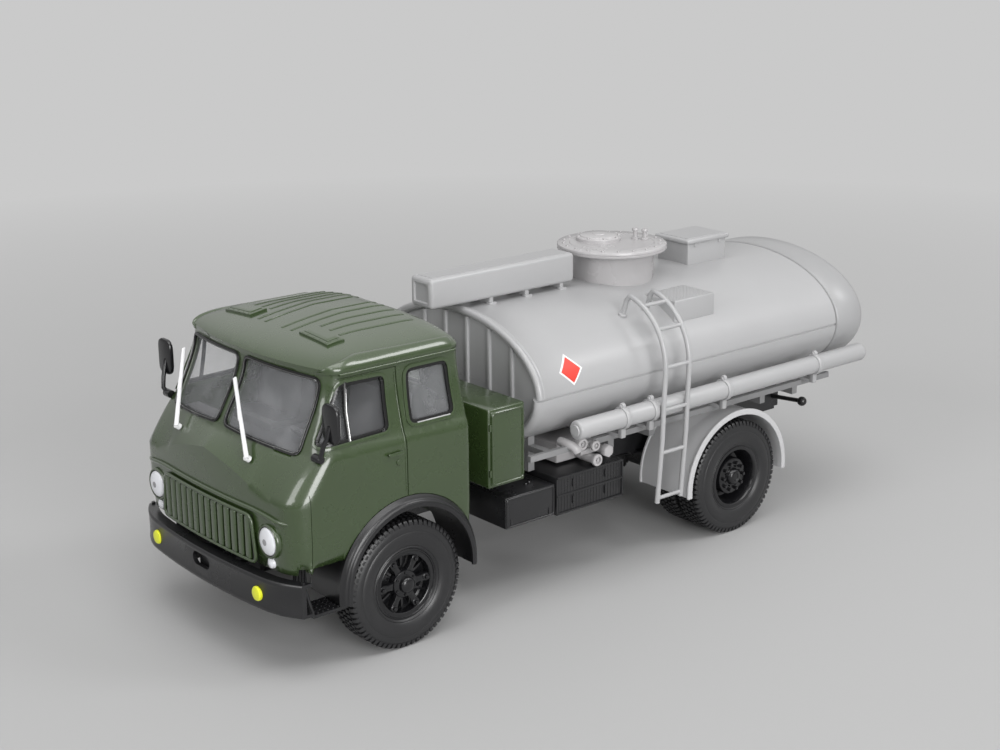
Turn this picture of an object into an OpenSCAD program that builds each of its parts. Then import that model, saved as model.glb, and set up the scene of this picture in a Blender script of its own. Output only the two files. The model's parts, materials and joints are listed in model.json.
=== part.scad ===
/* [Overall] */
// Length from the bumper's face to the tank's rear head
length = 164.6; // [160:0.1:170]
// Distance between the axles
wheelbase = 89.5; // [86:0.1:92]
// Bumper's face to the front axle
front_overhang = 27.8; // [27:0.1:28.6]
// Gap between a fixed piece and what turns past it
run_gap = 0.2; // [0.1:0.05:0.4]
// Gap between a piece and what it sits in or against
seat_gap = 0.05; // [0.02:0.01:0.1]

/* [Wheels] */
// Tyre radius, out to the lugs' tips
tyre_r = 12.6; // [12.2:0.05:13]
// Height of a tread lug
lug_h = 0.55; // [0.3:0.05:0.9]
// Lugs round a tyre
lug_count = 34; // [24:1:40]
// Width of a front tyre
tyre_w = 7.2; // [6.6:0.1:7.6]
// Width of one tyre of a rear pair
twin_w = 6.4; // [5.8:0.1:6.6]
// Gap between the tyres of a rear pair
twin_gap = 0.8; // [0.4:0.1:1.2]
// Half of the width over the tyres
tyre_out_y = 27.6; // [27.2:0.05:28]
// Radius on which the tyre sits
rim_r = 6.8; // [6.4:0.05:7.2]
// Radius of the axle pins
pin_r = 1.1; // [0.9:0.05:1.3]

/* [Cab] */
// Half width of the cab below the windows
cab_w = 27; // [26.6:0.1:27.4]
// Length of the cab
cab_len = 41.8; // [41.2:0.1:42.4]
// Bumper's face to the front of the cab
cab_setback = 2.1; // [1.8:0.1:2.4]
// Thickness of the cab's cast walls
cab_wall = 1.2; // [0.9:0.1:1.6]
// Lower edge of the cab
cab_low_z = 20; // [19.6:0.1:20.2]
// Height of the roof
cab_top_z = 60.5; // [60:0.1:61]
// Thickness of the glazing
glass_t = 0.6; // [0.4:0.1:0.8]
// Gap round each pane
glass_gap = 0.08; // [0.04:0.01:0.15]

/* [Chassis] */
// Half width over the frame rails
frame_y = 10; // [9.6:0.1:10.4]
// Height of a frame rail
rail_h = 5.8; // [5.4:0.1:6]
// Width of a rail's flanges
rail_w = 1.7; // [1.4:0.1:2.2]
// Thickness of a rail's web and flanges
rail_t = 0.6; // [0.4:0.1:0.8]
// Underside of the frame rails
frame_z = 17.6; // [17.4:0.1:17.8]
// Radius of the display screw posts
post_r = 2.4; // [2:0.1:2.8]
// Radius of the screw bores in the posts
screw_r = 1.1; // [0.9:0.05:1.3]

/* [Tank] */
// Cab's rear wall to the tank's front rim
tank_gap = 17.1; // [16.6:0.1:17.6]
// Half width of the tank
tank_a = 26.2; // [25.8:0.1:26.6]
// Half height of the tank
tank_b = 14.1; // [13.8:0.1:14.4]
// Height of the tank's centre line
tank_z = 41.1; // [40.8:0.1:41.4]
// Radius of the hose tubes
hose_r = 2; // [1.7:0.1:2.2]
// Radius of the manhole's drum
drum_r = 9.1; // [8:0.1:10]
// Radius of the manhole's flange
flange_r = 11.9; // [11:0.1:13]

/* [Hidden] */
$fn = 48;

// Places along the truck
nose_x = length/2;
front_x = nose_x - front_overhang;
rear_x = front_x - wheelbase;
cab_front_x = nose_x - cab_setback;
cab_rear_x = cab_front_x - cab_len;
tank_front_x = cab_rear_x - tank_gap;
tank_rear_x = -length/2;
tank_joint_x = tank_rear_x + 14.1;
head_x = tank_rear_x + 6.3;
manhole_x = tank_front_x - 44.2;
frame_front_x = nose_x - 6.8;
frame_rear_x = tank_rear_x + 15.5;

// Axles
axle_z = tyre_r;
tread_r = tyre_r - lug_h;
front_y = tyre_out_y - tyre_w/2;
twin_out_y = tyre_out_y - twin_w/2;
twin_in_y = twin_out_y - twin_w - twin_gap;
axle_end_y = front_y - tyre_w/2 - run_gap;
rear_axle_end_y = twin_in_y - twin_w/2 - run_gap;
bearing_r = pin_r + run_gap;

// Heights
frame_top_z = frame_z + rail_h;
tank_top_z = tank_z + tank_b;

// Colours
green = [0.31, 0.36, 0.26];
grey = [0.73, 0.73, 0.74];
black = [0.16, 0.16, 0.16];
dark = [0.1, 0.1, 0.1];

module mirrored(v = [0, 1, 0]) { children(); mirror(v) children(); }
// A piece between two corners
module slab(a, b) { translate(a) cube([b[0] - a[0], b[1] - a[1], b[2] - a[2]]); }
// A rod of radius r between two points
module rod(a, b, r, n = 24) {
    d = b - a;
    l = norm(d);
    translate(a) rotate([0, acos(d[2]/l), atan2(d[1], d[0])]) cylinder(r = r, h = l, $fn = n);
}
// Turns a shape's z axis to x or to y
module along_x(p) { translate(p) rotate([0, 90, 0]) children(); }
module along_y(p) { translate(p) rotate([-90, 0, 0]) children(); }
function arc(cx, cy, r, a0, a1, n) =
    [for (i = [0:n]) let (a = a0 + (a1 - a0)*i/n) [cx + r*cos(a), cy + r*sin(a)]];
function reversed(v) = [for (i = [len(v) - 1:-1:0]) v[i]];

// Cab body: plan sections from the lower edge to the roof
// [height, front, bow of the front, half width, rear, front corner radius, rear corner radius]
nose_bow = 1.8;
eaves_z = cab_top_z - 5.9;
function cab_sections() = [
    [cab_low_z, cab_front_x - 0.5, nose_bow, cab_w - 0.4, cab_rear_x, 5, 1.5],
    [25, cab_front_x, nose_bow, cab_w, cab_rear_x, 5, 1.5],
    [31, cab_front_x, 2.2, cab_w, cab_rear_x, 5, 1.5],
    [35.5, cab_front_x, 3.6, cab_w, cab_rear_x, 5, 1.5],
    [38.8, cab_front_x - 0.1, 6.2, cab_w - 0.1, cab_rear_x, 4.6, 1.5],
    [41.2, cab_front_x - 3.4, 5.2, cab_w - 0.4, cab_rear_x, 4, 1.5],
    [eaves_z, cab_front_x - 9.2, 3.4, 0.885*cab_w, cab_rear_x + 0.2, 3, 2],
    [eaves_z + 1, cab_front_x - 8.9, 3.6, 0.9*cab_w, cab_rear_x, 4, 2.4],
    [eaves_z + 2.1, cab_front_x - 9.9, 3.8, 0.863*cab_w, cab_rear_x + 0.3, 4.5, 3],
    [eaves_z + 3.5, cab_front_x - 12.8, 4, 0.726*cab_w, cab_rear_x + 1, 5, 4],
    [cab_top_z - 1, cab_front_x - 19.2, 4.5, 0.481*cab_w, cab_rear_x + 2.6, 6, 5],
    [cab_top_z, cab_front_x - 29.2, 3, 0.185*cab_w, cab_rear_x + 6.6, 3, 3],
];
// Value k of the section at height z, and the front's place there, y from the middle
function cab_at(z, k) = lookup(z, [for (q = cab_sections()) [q[0], q[k]]]);
function nose_at(y, z) = cab_at(z, 1) - cab_at(z, 2)*pow(y/cab_at(z, 3), 2);
function cab_outline(s, t) =
    let (w = s[3] - t, xf = s[1] - t, xr = s[4] + t, rf = max(s[5] - t, 0.5), rr = max(s[6] - t, 0.4),
         e = w - rf, xc = xf - s[2]*e*e/(w*w))
    concat(
        [for (i = [-5:5]) [xf - s[2]*pow(i/6*e/w, 2), i/6*e]],
        arc(xc - rf, e, rf, 0, 90, 5),
        arc(xr + rr, w - rr, rr, 90, 180, 3),
        arc(xr + rr, rr - w, rr, 180, 270, 3),
        arc(xc - rf, -e, rf, 270, 360, 5));
// The cab's outside drawn in by t; below it reaches further down by low
module cab_loft(t, low = 0) {
    s = cab_sections();
    slice = 0.02;
    for (i = [0:len(s) - 2])
        hull() for (k = [0, 1])
            let (q = s[i + k], drop = (i + k == 0) ? low : t*lookup(q[0], [[eaves_z, 0],
                [cab_top_z - 1, 1]]))
                translate([0, 0, q[0] - drop]) linear_extrude(slice) polygon(cab_outline(q, t));
}
// Corners of the openings: [y, height] in the front and back, [behind the cab's front, height] in the sides
pane = [[1.9, 42.2], [20.8, 40.8], [21.4, 53.9], [1.9, 54.5]];
back_pane = [[-12.6, 45], [12.6, 45], [12.2, 53.2], [-12.2, 53.2]];
door_pane = [[-8.1, 42.5], [-23.6, 42.9], [-24, 53.1], [-14, 53.3]];
rear_pane = [[-28, 43], [-28.6, 53.3], [-38.4, 53.3], [-38.6, 43]];
pane_corner_r = 0.9;
module opening(g, outline) offset(r = pane_corner_r, $fn = 24) offset(delta = -pane_corner_r - g)
    polygon(outline);
module across_x(x0, x1) { translate([x0, 0, 0]) rotate([90, 0, 90]) linear_extrude(x1 - x0) children(); }
module across_y(y0, y1) { translate([0, y1, 0]) rotate([90, 0, 0]) linear_extrude(y1 - y0) children(); }
module cab_openings(g) {
    mirrored() across_x(cab_rear_x + 20, nose_x) opening(g, pane);
    mirrored() translate([cab_front_x, 0, 0]) across_y(cab_w - 12, cab_w + 5) {
        opening(g, door_pane);
        opening(g, rear_pane);
    }
    across_x(cab_rear_x - 5, cab_rear_x + 8) opening(g, back_pane);
}
// The front mudguards are struck from a centre behind and above the axle
guard_c = [front_x - 0.9, axle_z + 1.3];
guard_r = 16;
guard_y = [tyre_out_y - tyre_w, tyre_out_y + 0.9];
module front_arch(r) mirrored() along_y([guard_c[0], cab_w - 6, guard_c[1]])
    cylinder(r = r, h = 12, $fn = 64);

// Lamps sit in recesses of the front
lamp_y = 0.733*cab_w;
lamp_z = 25.6;
lamp_r = 2.77;
bezel_r = lamp_r + 0.3;
lamp_x = nose_at(lamp_y, 25) - 0.9;
indicator_z = 21.35;
indicator_r = 1;
module lamp_seats() mirrored() {
    along_x([lamp_x - seat_gap, lamp_y, lamp_z]) cylinder(r = bezel_r + seat_gap, h = 5);
    along_x([lamp_x + 0.1 - seat_gap, lamp_y, indicator_z]) cylinder(r = indicator_r + seat_gap, h = 5);
}

// Roof ribs [distance from the middle, front end], gutters and hatches stand on the roof's own curve
roof_ribs = [[2.9, -16.2], [8.2, -16.7], [14.6, -20.7]];
module roof_trim() {
    intersection() {
        cab_loft(-0.35);
        union() {
            mirrored() for (q = roof_ribs)
                slab([cab_rear_x + 4.1, q[0] - 0.35, eaves_z + 2],
                    [cab_front_x + q[1], q[0] + 0.35, cab_top_z + 1]);
            mirrored() slab([cab_rear_x + 1.4, cab_w - 6, eaves_z + 0.1],
                [cab_front_x - 12.7, cab_w, eaves_z + 0.5]);
        }
    }
    intersection() {
        cab_loft(-0.8);
        mirrored() slab([cab_front_x - 20.2, 8.4, eaves_z + 1], [cab_front_x - 16.4, 17.4, cab_top_z + 1]);
    }
}
door_low_z = 21.2;
module cab_shell() color(green) difference() {
    union() {
        cab_loft(0);
        roof_trim();
    }
    cab_loft(cab_wall, 2);
    cab_openings(0);
    front_arch(guard_r + 2*seat_gap);
    slab([guard_c[0] + 12, -cab_w - 1, cab_low_z - 1], [cab_front_x - 3.2, cab_w + 1, door_low_z]);
    slab([cab_rear_x - 1, -frame_y - seat_gap, cab_low_z - 1],
        [cab_rear_x + 3, frame_y + seat_gap, frame_top_z + seat_gap]);
    lamp_seats();
}
glass_inset = cab_wall - 0.2 - glass_t;
module cab_glazing() color([0.75, 0.8, 0.82, 0.4]) intersection() {
    difference() { cab_loft(glass_inset); cab_loft(glass_inset + glass_t); }
    cab_openings(glass_gap);
}
floor_z = 31;
floor_t = 1;
dash_x = cab_front_x - 10.6;
hump_y = 6.5;
module cab_floor() color(dark) difference() {
    union() {
        slab([cab_rear_x + cab_wall + 0.1, -cab_w + cab_wall + 0.5, floor_z],
            [cab_front_x - 7.8, cab_w - cab_wall - 0.5, floor_z + floor_t]);
        slab([cab_rear_x + 9.6, -hump_y, floor_z + floor_t], [dash_x - 0.2, hump_y, floor_z + 5]);
    }
    slab([cab_rear_x + 10.6, -hump_y + 1, floor_z - 1], [dash_x - 1.2, hump_y - 1, floor_z + 4]);
}
// Side view of a seat: cushion and leaning backrest
seat_y = [8, cab_w - 4];
seat_side = [[0, 0], [10, 0], [10.4, 4.4], [9.8, 5], [4.2, 4.4], [2.2, 16], [0.6, 16.6], [-0.8, 15.8],
    [0.6, 4]];
module seats() color([0.2, 0.2, 0.21]) mirrored()
    translate([cab_rear_x + 11.6, 0, floor_z + floor_t]) across_y(seat_y[0], seat_y[1]) polygon(seat_side);
dash_y = cab_w - 7.5;
wheel_at = [dash_x - 3.6, 15, 40.5];
steer_r = 4.4;
module dashboard() color([0.22, 0.22, 0.23]) {
    slab([dash_x, -dash_y, 35.5], [dash_x + 3.2, dash_y, 40.5]);
    translate(wheel_at) rotate([0, -40, 0]) {
        rotate_extrude($fn = 36) translate([steer_r, 0]) circle(0.45, $fn = 8);
        cylinder(r = 1.1, h = 0.8);
        for (a = [0, 120, 240]) rotate([0, 0, a]) translate([0, -0.3, 0]) cube([steer_r, 0.6, 0.5]);
        translate([0, 0, -6]) cylinder(r = 0.6, h = 6.2);
    }
}

// A band that follows the front's bow at the grille, between two offsets from it
module nose_band(half, t0, t1, z0, z1) translate([0, 0, z0]) linear_extrude(z1 - z0) polygon(concat(
    [for (i = [-8:8]) [nose_at(half*i/8, 25) + t1, half*i/8]],
    [for (i = [8:-1:-8]) [nose_at(half*i/8, 25) + t0, half*i/8]]));
grille_top = [15.3, 29.4];
grille_foot = [16.5, 20.6];
bar_h = 0.7;
rib_count = 14;
rib_w = 1.2;
module grille() color(green) {
    nose_band(grille_top[0], seat_gap, 0.35, grille_foot[1], grille_top[1]);
    nose_band(grille_foot[0], seat_gap, 1, grille_foot[1], grille_foot[1] + bar_h);
    nose_band(grille_top[0], seat_gap, 1, grille_top[1] - bar_h, grille_top[1]);
    nose_band(24.5, seat_gap, 0.6, 30.2, 30.2 + bar_h);
    nose_band(grille_top[0], seat_gap, 0.35, grille_top[1], 30.2);
    for (i = [0:rib_count - 1]) let (y = grille_top[0]*((2*i + 1)/rib_count - 1))
        slab([nose_at(y, 25) + 0.15, y - rib_w/2, grille_foot[1]],
            [nose_at(y, 25) + 0.9, y + rib_w/2, grille_top[1]]);
    mirrored() rod([nose_at(grille_foot[0], 25) + 0.5, grille_foot[0] - 0.3, grille_foot[1] + 0.2],
        [nose_at(grille_top[0], 25) + 0.5, grille_top[0] - 0.3, grille_top[1] - 0.2], 0.4);
}
module headlamps() color([0.85, 0.86, 0.88]) mirrored() along_x([lamp_x, lamp_y, lamp_z]) {
    cylinder(r = bezel_r, h = 1.3);
    cylinder(r = lamp_r, h = 1.7);
    translate([0, 0, 1.7]) cylinder(r1 = lamp_r, r2 = 1.4, h = 0.4);
}
module indicators() color([0.9, 0.9, 0.9]) mirrored()
    along_x([lamp_x + 0.1, lamp_y, indicator_z]) cylinder(r = indicator_r, h = 0.9);

// Bumper: bowed, with ends bent back
bumper_z = [12.5, 18.9];
bumper_half = tyre_out_y - 0.2;
bumper_t = 0.9;
lip_h = 0.7;
lip_in = 2.4;
bow_k = 320;
bend_y = 19;
bend_r = 18;
function bumper_x(y, t) = nose_x - t - y*y/bow_k
    - (abs(y) > bend_y ? bend_r - sqrt(bend_r*bend_r - pow(abs(y) - bend_y, 2)) : 0);
module bumper_plan(t0, t1) polygon(concat(
    [for (i = [-12:12]) let (y = bumper_half*i/12) [bumper_x(y, t0), y]],
    [for (i = [12:-1:-12]) let (y = bumper_half*i/12) [bumper_x(y, t1), y]]));
fog_at = [18, 15.5];
fog_r = 1.4;
fog_in = 0.35;
module fog_discs(x, r, h) mirrored() along_x([bumper_x(fog_at[0], fog_in) + x, fog_at[0], fog_at[1]])
    cylinder(r = r, h = h);
tow_at = 16.5;
tow_size = [1.55, 1.35];
module tow_opening() {
    for (s = [-1, 1]) along_x([nose_x - 5, s*tow_size[0], tow_at]) cylinder(r = tow_size[1], h = 6);
    slab([nose_x - 5, -tow_size[0], tow_at - tow_size[1]], [nose_x + 1, tow_size[0], tow_at + tow_size[1]]);
}
step_z = [11.8, 12.4];
brace_r = 0.35;
module step_brace(r) mirrored() rod([nose_x - 7.3, 26.6, step_z[0] + 0.2],
    [nose_x - 5.1, 26.8, bumper_z[1] + 0.4], r, 16);
module bumper() color(black) difference() {
    union() {
        translate([0, 0, bumper_z[0]]) linear_extrude(bumper_z[1] - bumper_z[0]) bumper_plan(0, bumper_t);
        for (z = [bumper_z[0], bumper_z[1] - lip_h]) translate([0, 0, z])
            linear_extrude(lip_h) bumper_plan(0, lip_in);
        mirrored() slab([frame_front_x, frame_y - rail_w, bumper_z[0] + lip_h],
            [nose_x - 1, frame_y, bumper_z[1] - lip_h]);
    }
    tow_opening();
    fog_discs(-seat_gap, fog_r + seat_gap, 3);
    step_brace(brace_r + seat_gap);
}
module fog_lamps() color([0.85, 0.85, 0.1]) fog_discs(0, fog_r, fog_in + 0.3);

// A ring sector in side view with a [radius, y] profile, from angle a0 to a1
module axle_arc(c, profile, a0, a1)
    translate([c[0], 0, c[1]]) rotate([90, 0, 0]) rotate([0, 0, a0])
        rotate_extrude(angle = a1 - a0, $fn = 64) polygon([for (p = profile) [p[0], -p[1]]]);
guard_lip = [[14.5, guard_y[1] - 0.6], [13.9, guard_y[1] - 0.6], [13.9, guard_y[1]], [14.9, guard_y[1]]];
module front_mudguards() color(black) mirrored()
    axle_arc(guard_c, concat(guard_lip, [[guard_r, cab_w], [15.4, guard_y[0]],
        [14.5, guard_y[0]]]), -5, 184);
step_x = [front_x + tyre_r + 0.9, nose_x - 7];
module cab_steps() color(black) {
    mirrored() difference() {
        slab([step_x[0], guard_y[0] + 0.9, step_z[0]], [step_x[1], cab_w, step_z[1]]);
        for (x = [step_x[0] + 1:1.1:step_x[1] - 0.5], y = [22.5:1.1:26.4])
            translate([x, y, step_z[0] - 1]) cylinder(r = 0.3, h = 3, $fn = 8);
    }
    mirrored() slab([step_x[1] - 2.5, guard_y[0] + 0.3, step_z[0]],
        [step_x[1], guard_y[0] + 0.9, cab_low_z]);
    mirrored() slab([step_x[1] - 2.5, frame_y + seat_gap, cab_low_z - 1.6],
        [step_x[1], guard_y[0] + 0.9, cab_low_z]);
    step_brace(brace_r);
}
// Both wipers lean to the truck's right: [pivot's y, tip's place from the cab's front]
wiper_rows = [[12.4, [-6.9, 0.6, 50.4]], [-12.4, [-9.4, -22.3, 50.8]]];
module wipers() color([0.9, 0.9, 0.9]) for (q = wiper_rows) {
    translate([cab_front_x - 1.8, q[0], 39.3]) rotate([0, 36, 0]) cylinder(r = 0.6, h = 0.9);
    rod([cab_front_x - 1.4, q[0], 39.9], [cab_front_x + q[1][0], q[1][1], q[1][2]], 0.3, 12);
}
mirror_x = cab_front_x - 9.6;
mirror_y = cab_w + 1.75;
mirror_half = [2.45, 3.5];
mirror_z = 48;
mirror_corner = 0.9;
arm_z = 39.3;
module mirrors() color(black) mirrored() {
    hull() for (s = [-1, 1], k = [-1, 1])
        along_x([mirror_x, mirror_y + s*(mirror_half[0] - mirror_corner), mirror_z + k*(mirror_half[1] - mirror_corner)])
            cylinder(r = mirror_corner, h = 1, $fn = 24);
    rod([mirror_x + 1.6, cab_w + 0.6, arm_z], [mirror_x + 0.5, mirror_y - 0.6, mirror_z - 3], 0.35, 12);
    along_y([mirror_x + 1.6, cab_at(arm_z, 3) + seat_gap, arm_z]) cylinder(r = 0.6, h = 1.2);
}
locker_x = [cab_rear_x - 14.2, cab_rear_x - 5];
locker_y = cab_w - 1;
locker_z = [25.8, 41.8];
module locker() color(green) {
    slab([locker_x[0], 0.7 - locker_y, locker_z[0]], [locker_x[1], locker_y - 0.7, locker_z[1]]);
    mirrored() difference() {
        slab([locker_x[0] + 1, locker_y - 0.7, locker_z[0] + 1],
            [locker_x[1] - 1, locker_y, locker_z[1] - 0.8]);
        slab([locker_x[0] + 2, locker_y - 0.3, locker_z[0] + 2],
            [locker_x[1] - 2, locker_y + 1, locker_z[1] - 1.8]);
    }
    slab([locker_x[0] + 3, -frame_y, frame_top_z], [locker_x[1] - 2, frame_y, locker_z[0]]);
}

// Chassis
cross_t = 1.2;
cross_x = [frame_front_x - cross_t, cab_rear_x + 7.6, cab_rear_x - 8.4, cab_rear_x - 30.4,
    rear_x + 21, rear_x - 14, frame_rear_x + 1];
post_x = [frame_front_x - 2.5, frame_rear_x + 9.2];
post_low_z = frame_z - 2;
engine_x = [cab_rear_x + 13.6, cab_rear_x + 31.6];
shaft_ends = [[rear_x + 4.7, 0, axle_z + 0.2], [engine_x[0] - 4.4, 0, 20.6]];
shaft_r = 0.8;
module rail() difference() {
    slab([frame_rear_x, frame_y - rail_w, frame_z], [frame_front_x, frame_y, frame_top_z]);
    slab([frame_rear_x - 1, frame_y - rail_w - 1, frame_z + rail_t],
        [frame_front_x + 1, frame_y - rail_t, frame_top_z - rail_t]);
}
module chassis_frame() color(dark) difference() {
    union() {
        mirrored() rail();
        for (x = cross_x)
            slab([x, rail_t - frame_y, frame_z + rail_t],
                [x + cross_t, frame_y - rail_t, frame_top_z - rail_t]);
        for (x = post_x) {
            translate([x, 0, post_low_z]) cylinder(r = post_r, h = frame_top_z - rail_t - post_low_z);
            slab([x - cross_t, rail_t - frame_y, frame_z + 2],
                [x + cross_t, frame_y - rail_t, frame_z + 4]);
        }
    }
    for (x = post_x) translate([x, 0, post_low_z - 1]) cylinder(r = screw_r, h = rail_h + 4);
    rod(shaft_ends[0], shaft_ends[1], shaft_r + 0.6);
}
engine_y = 6.4;
module engine_block() color(dark) {
    slab([engine_x[0], -engine_y, 16.6], [engine_x[1], engine_y, 28.6]);
    slab([engine_x[0] + 4, -4, 15.4], [engine_x[1] - 3, 4, 16.6]);
}
module prop_shaft() color(dark) {
    rod(shaft_ends[0], shaft_ends[1], shaft_r);
    along_x([engine_x[0] - 4.5, 0, shaft_ends[1][2]]) cylinder(r = 2.2, h = 4.5 - seat_gap);
}
axle_pad = 2.5;
axle_tube_r = pin_r + 1;
module front_axle() color(dark) difference() {
    union() {
        along_y([front_x, -axle_end_y, axle_z]) cylinder(r = axle_tube_r, h = 2*axle_end_y);
        mirrored() slab([front_x - 2, frame_y - 2.2, axle_z - 1.2],
            [front_x + 2, frame_y + 0.2, axle_z + axle_pad]);
    }
    along_y([front_x, -30, axle_z]) cylinder(r = bearing_r, h = 60);
}
hub_r = 4.6;
hub_half = 3.2;
module rear_axle() color(dark) difference() {
    union() {
        along_y([rear_x, -rear_axle_end_y, axle_z]) cylinder(r = axle_tube_r + 0.3, h = 2*rear_axle_end_y);
        along_y([rear_x, -hub_half, axle_z]) cylinder(r = hub_r, h = 2*hub_half);
        mirrored() along_y([rear_x, hub_half, axle_z]) cylinder(r1 = hub_r, r2 = axle_tube_r + 0.3, h = 2);
        mirrored() slab([rear_x - 2.4, frame_y - 2, axle_z], [rear_x + 2.4, frame_y, axle_z + axle_pad]);
    }
    along_y([rear_x, -30, axle_z]) cylinder(r = bearing_r, h = 60);
}
leaf_t = 0.5;
leaf_w = 1.7;
hanger_h = 0.4;
hanger_w = 1.6;
// Half outline of a pack of leaves, each shorter than the one above: from the middle of its
// underside out to the top leaf's end
function leaf_rise(x, half, camber) = camber*pow(x/half, 2);
function leaf_steps(half, leaves, camber) = [for (i = [0:leaves - 1], k = [0, 1])
    let (l = half*(0.35 + 0.65*i/(leaves - 1))) [l, (i + k)*leaf_t + leaf_rise(l, half, camber)]];
// A leaf spring from the top of its axle pad up to the hangers under the rail
module spring(x, half, leaves, pad_z, y) {
    camber = frame_z - hanger_h - pad_z - leaves*leaf_t;
    steps = leaf_steps(half, leaves, camber);
    top = [for (k = [7:-1:-7]) [half*k/8, leaves*leaf_t + leaf_rise(half*k/8, half, camber)]];
    translate([x, y + leaf_w/2, pad_z]) rotate([90, 0, 0]) linear_extrude(leaf_w)
        polygon(concat([[0, 0]], steps, top, [for (p = reversed(steps)) [-p[0], p[1]]]));
    for (s = [-1, 1]) let (h = x + s*(half - hanger_w/2))
        slab([h - hanger_w/2, y - leaf_w/2, frame_z - hanger_h - 0.35],
            [h + hanger_w/2, y + leaf_w/2, frame_z]);
}
module leaf_springs() color(dark) mirrored() {
    spring(front_x, 13, 3, axle_z + axle_pad, frame_y - 1);
    spring(rear_x, 15, 4, axle_z + axle_pad, frame_y - 1);
}
// The exhaust pipe runs from the silencer past the rail's outside to the engine's side
muffler_x = [cab_rear_x - 23.8, cab_rear_x - 9.8];
muffler_y = -frame_y - 6.8;
muffler_z = 19.2;
pipe_z = cab_low_z - 1.1;
pipe_r = 0.9;
pipe_way = [[muffler_x[1] - 1, muffler_y, pipe_z], [cab_rear_x + 1.6, -frame_y - 2.4, pipe_z],
    [cab_rear_x + 8.6, -frame_y - 1.5, 22], [cab_rear_x + 12, -frame_y - 1.3, 26.2],
    [engine_x[0] + 3, -engine_y - pipe_r, 26.4]];
module exhaust() color(dark) {
    along_x([muffler_x[0], muffler_y, muffler_z]) cylinder(r = 2.8, h = muffler_x[1] - muffler_x[0]);
    for (i = [0:len(pipe_way) - 2]) rod(pipe_way[i], pipe_way[i + 1], pipe_r);
    for (p = pipe_way) translate(p) sphere(r = pipe_r, $fn = 24);
    for (x = [2.4, 10.4]) slab([muffler_x[0] + x, muffler_y, 18.4],
        [muffler_x[0] + x + 1.4, -frame_y - seat_gap, 21]);
}

// Boxes on the frame's sides
box_y = [14.2, 25.2];
battery_x = [cab_rear_x - 22.2, cab_rear_x - 9.4];
battery_z = [16.3, 22.8];
module battery_box() color(black) {
    slab([battery_x[0] + 0.3, box_y[0], battery_z[0]], [battery_x[1] - 0.3, box_y[1], battery_z[1] - 0.8]);
    slab([battery_x[0], box_y[0] - 0.2, battery_z[1] - 0.8], [battery_x[1], box_y[1] + 0.4, battery_z[1]]);
    slab([battery_x[0], box_y[0] - 0.2, battery_z[0]], [battery_x[1], box_y[1] + 0.4, battery_z[0] + 0.5]);
    slab([battery_x[0] + 1.3, frame_y + seat_gap, 19], [battery_x[1] - 1.3, box_y[0], 22]);
}
tool_x = [cab_rear_x - 41, cab_rear_x - 22.6];
tool_z = [15.9, 23.9];
tool_ribs = 7;
module tool_box() color(black) {
    slab([tool_x[0] + 0.2, box_y[0], tool_z[0]], [tool_x[1] - 0.2, box_y[1], tool_z[1]]);
    for (z = [tool_z[0], 19.5, tool_z[1] - 0.8]) slab([tool_x[0], box_y[1], z],
        [tool_x[1], box_y[1] + 0.4, z + 0.8]);
    for (i = [1:tool_ribs - 1]) let (x = tool_x[0] + (tool_x[1] - tool_x[0])*i/tool_ribs)
        slab([x - 0.35, box_y[1], tool_z[0]], [x + 0.35, box_y[1] + 0.4, tool_z[1]]);
    slab([tool_x[0] + 2.4, frame_y + seat_gap, 18.4], [tool_x[1] - 2.4, box_y[0], 21.6]);
}
fuel_x = [cab_rear_x - 50.4, cab_rear_x - 27];
fuel_z = [15.6, 24];
strap_t = 0.3;
module fuel_tank() color(black) {
    slab([fuel_x[0], -25.6, fuel_z[0]], [fuel_x[1], -14.6, fuel_z[1]]);
    for (x = [fuel_x[0] + 4, fuel_x[1] - 5.4]) {
        slab([x, -25.6 - strap_t, fuel_z[0] - strap_t], [x + 1.4, -14.6, fuel_z[1] + strap_t]);
        slab([x, -14.6, 19], [x + 1.4, -frame_y - seat_gap, 22]);
    }
    translate([fuel_x[0] + 12, -22, fuel_z[1]]) cylinder(r = 1.3, h = 0.9);
}

// Tank
function oval(a, b, n = 48) = [for (i = [0:n - 1]) [a*cos(360*i/n), b*sin(360*i/n)]];
module tank_span(x0, x1, inset = 0)
    translate([x0, 0, tank_z]) rotate([90, 0, 90]) linear_extrude(x1 - x0)
        polygon(oval(tank_a - inset, tank_b - inset));
module tank_room(out = 0) tank_span(tank_rear_x - 1, tank_front_x + 1, -out - seat_gap);
saddle_x = [tank_front_x - 5.3, tank_front_x - 27.3, rear_x + 17, rear_x - 18, tank_joint_x + 4.2];
saddle_t = 1.6;
hose_z = tank_z - 7.2;
ledge_y = [23.8, 24.8];
ledge_z = [28.4, 29.6];
module tank_subframe() color([0.6, 0.6, 0.61]) difference() {
    union() {
        mirrored() slab([frame_rear_x + 0.8, frame_y - 1.8, frame_top_z],
            [tank_front_x - 1.3, frame_y, frame_top_z + 2.6]);
        for (x = saddle_x) slab([x, -19, frame_top_z + 0.6], [x + saddle_t, 19, tank_z - 8]);
        mirrored() slab([frame_rear_x - 1.2, ledge_y[0], ledge_z[0]],
            [tank_front_x + 0.7, ledge_y[1], ledge_z[1]]);
        mirrored() for (x = saddle_x) slab([x, 18, ledge_z[0]], [x + saddle_t, ledge_y[1], ledge_z[1]]);
    }
    tank_room();
}
rim_h = 0.5;
rim_w = 1.6;
bulkhead_in = 1.3;
bulkhead_ribs = [3.5, 10.5, 17.5];
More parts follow.
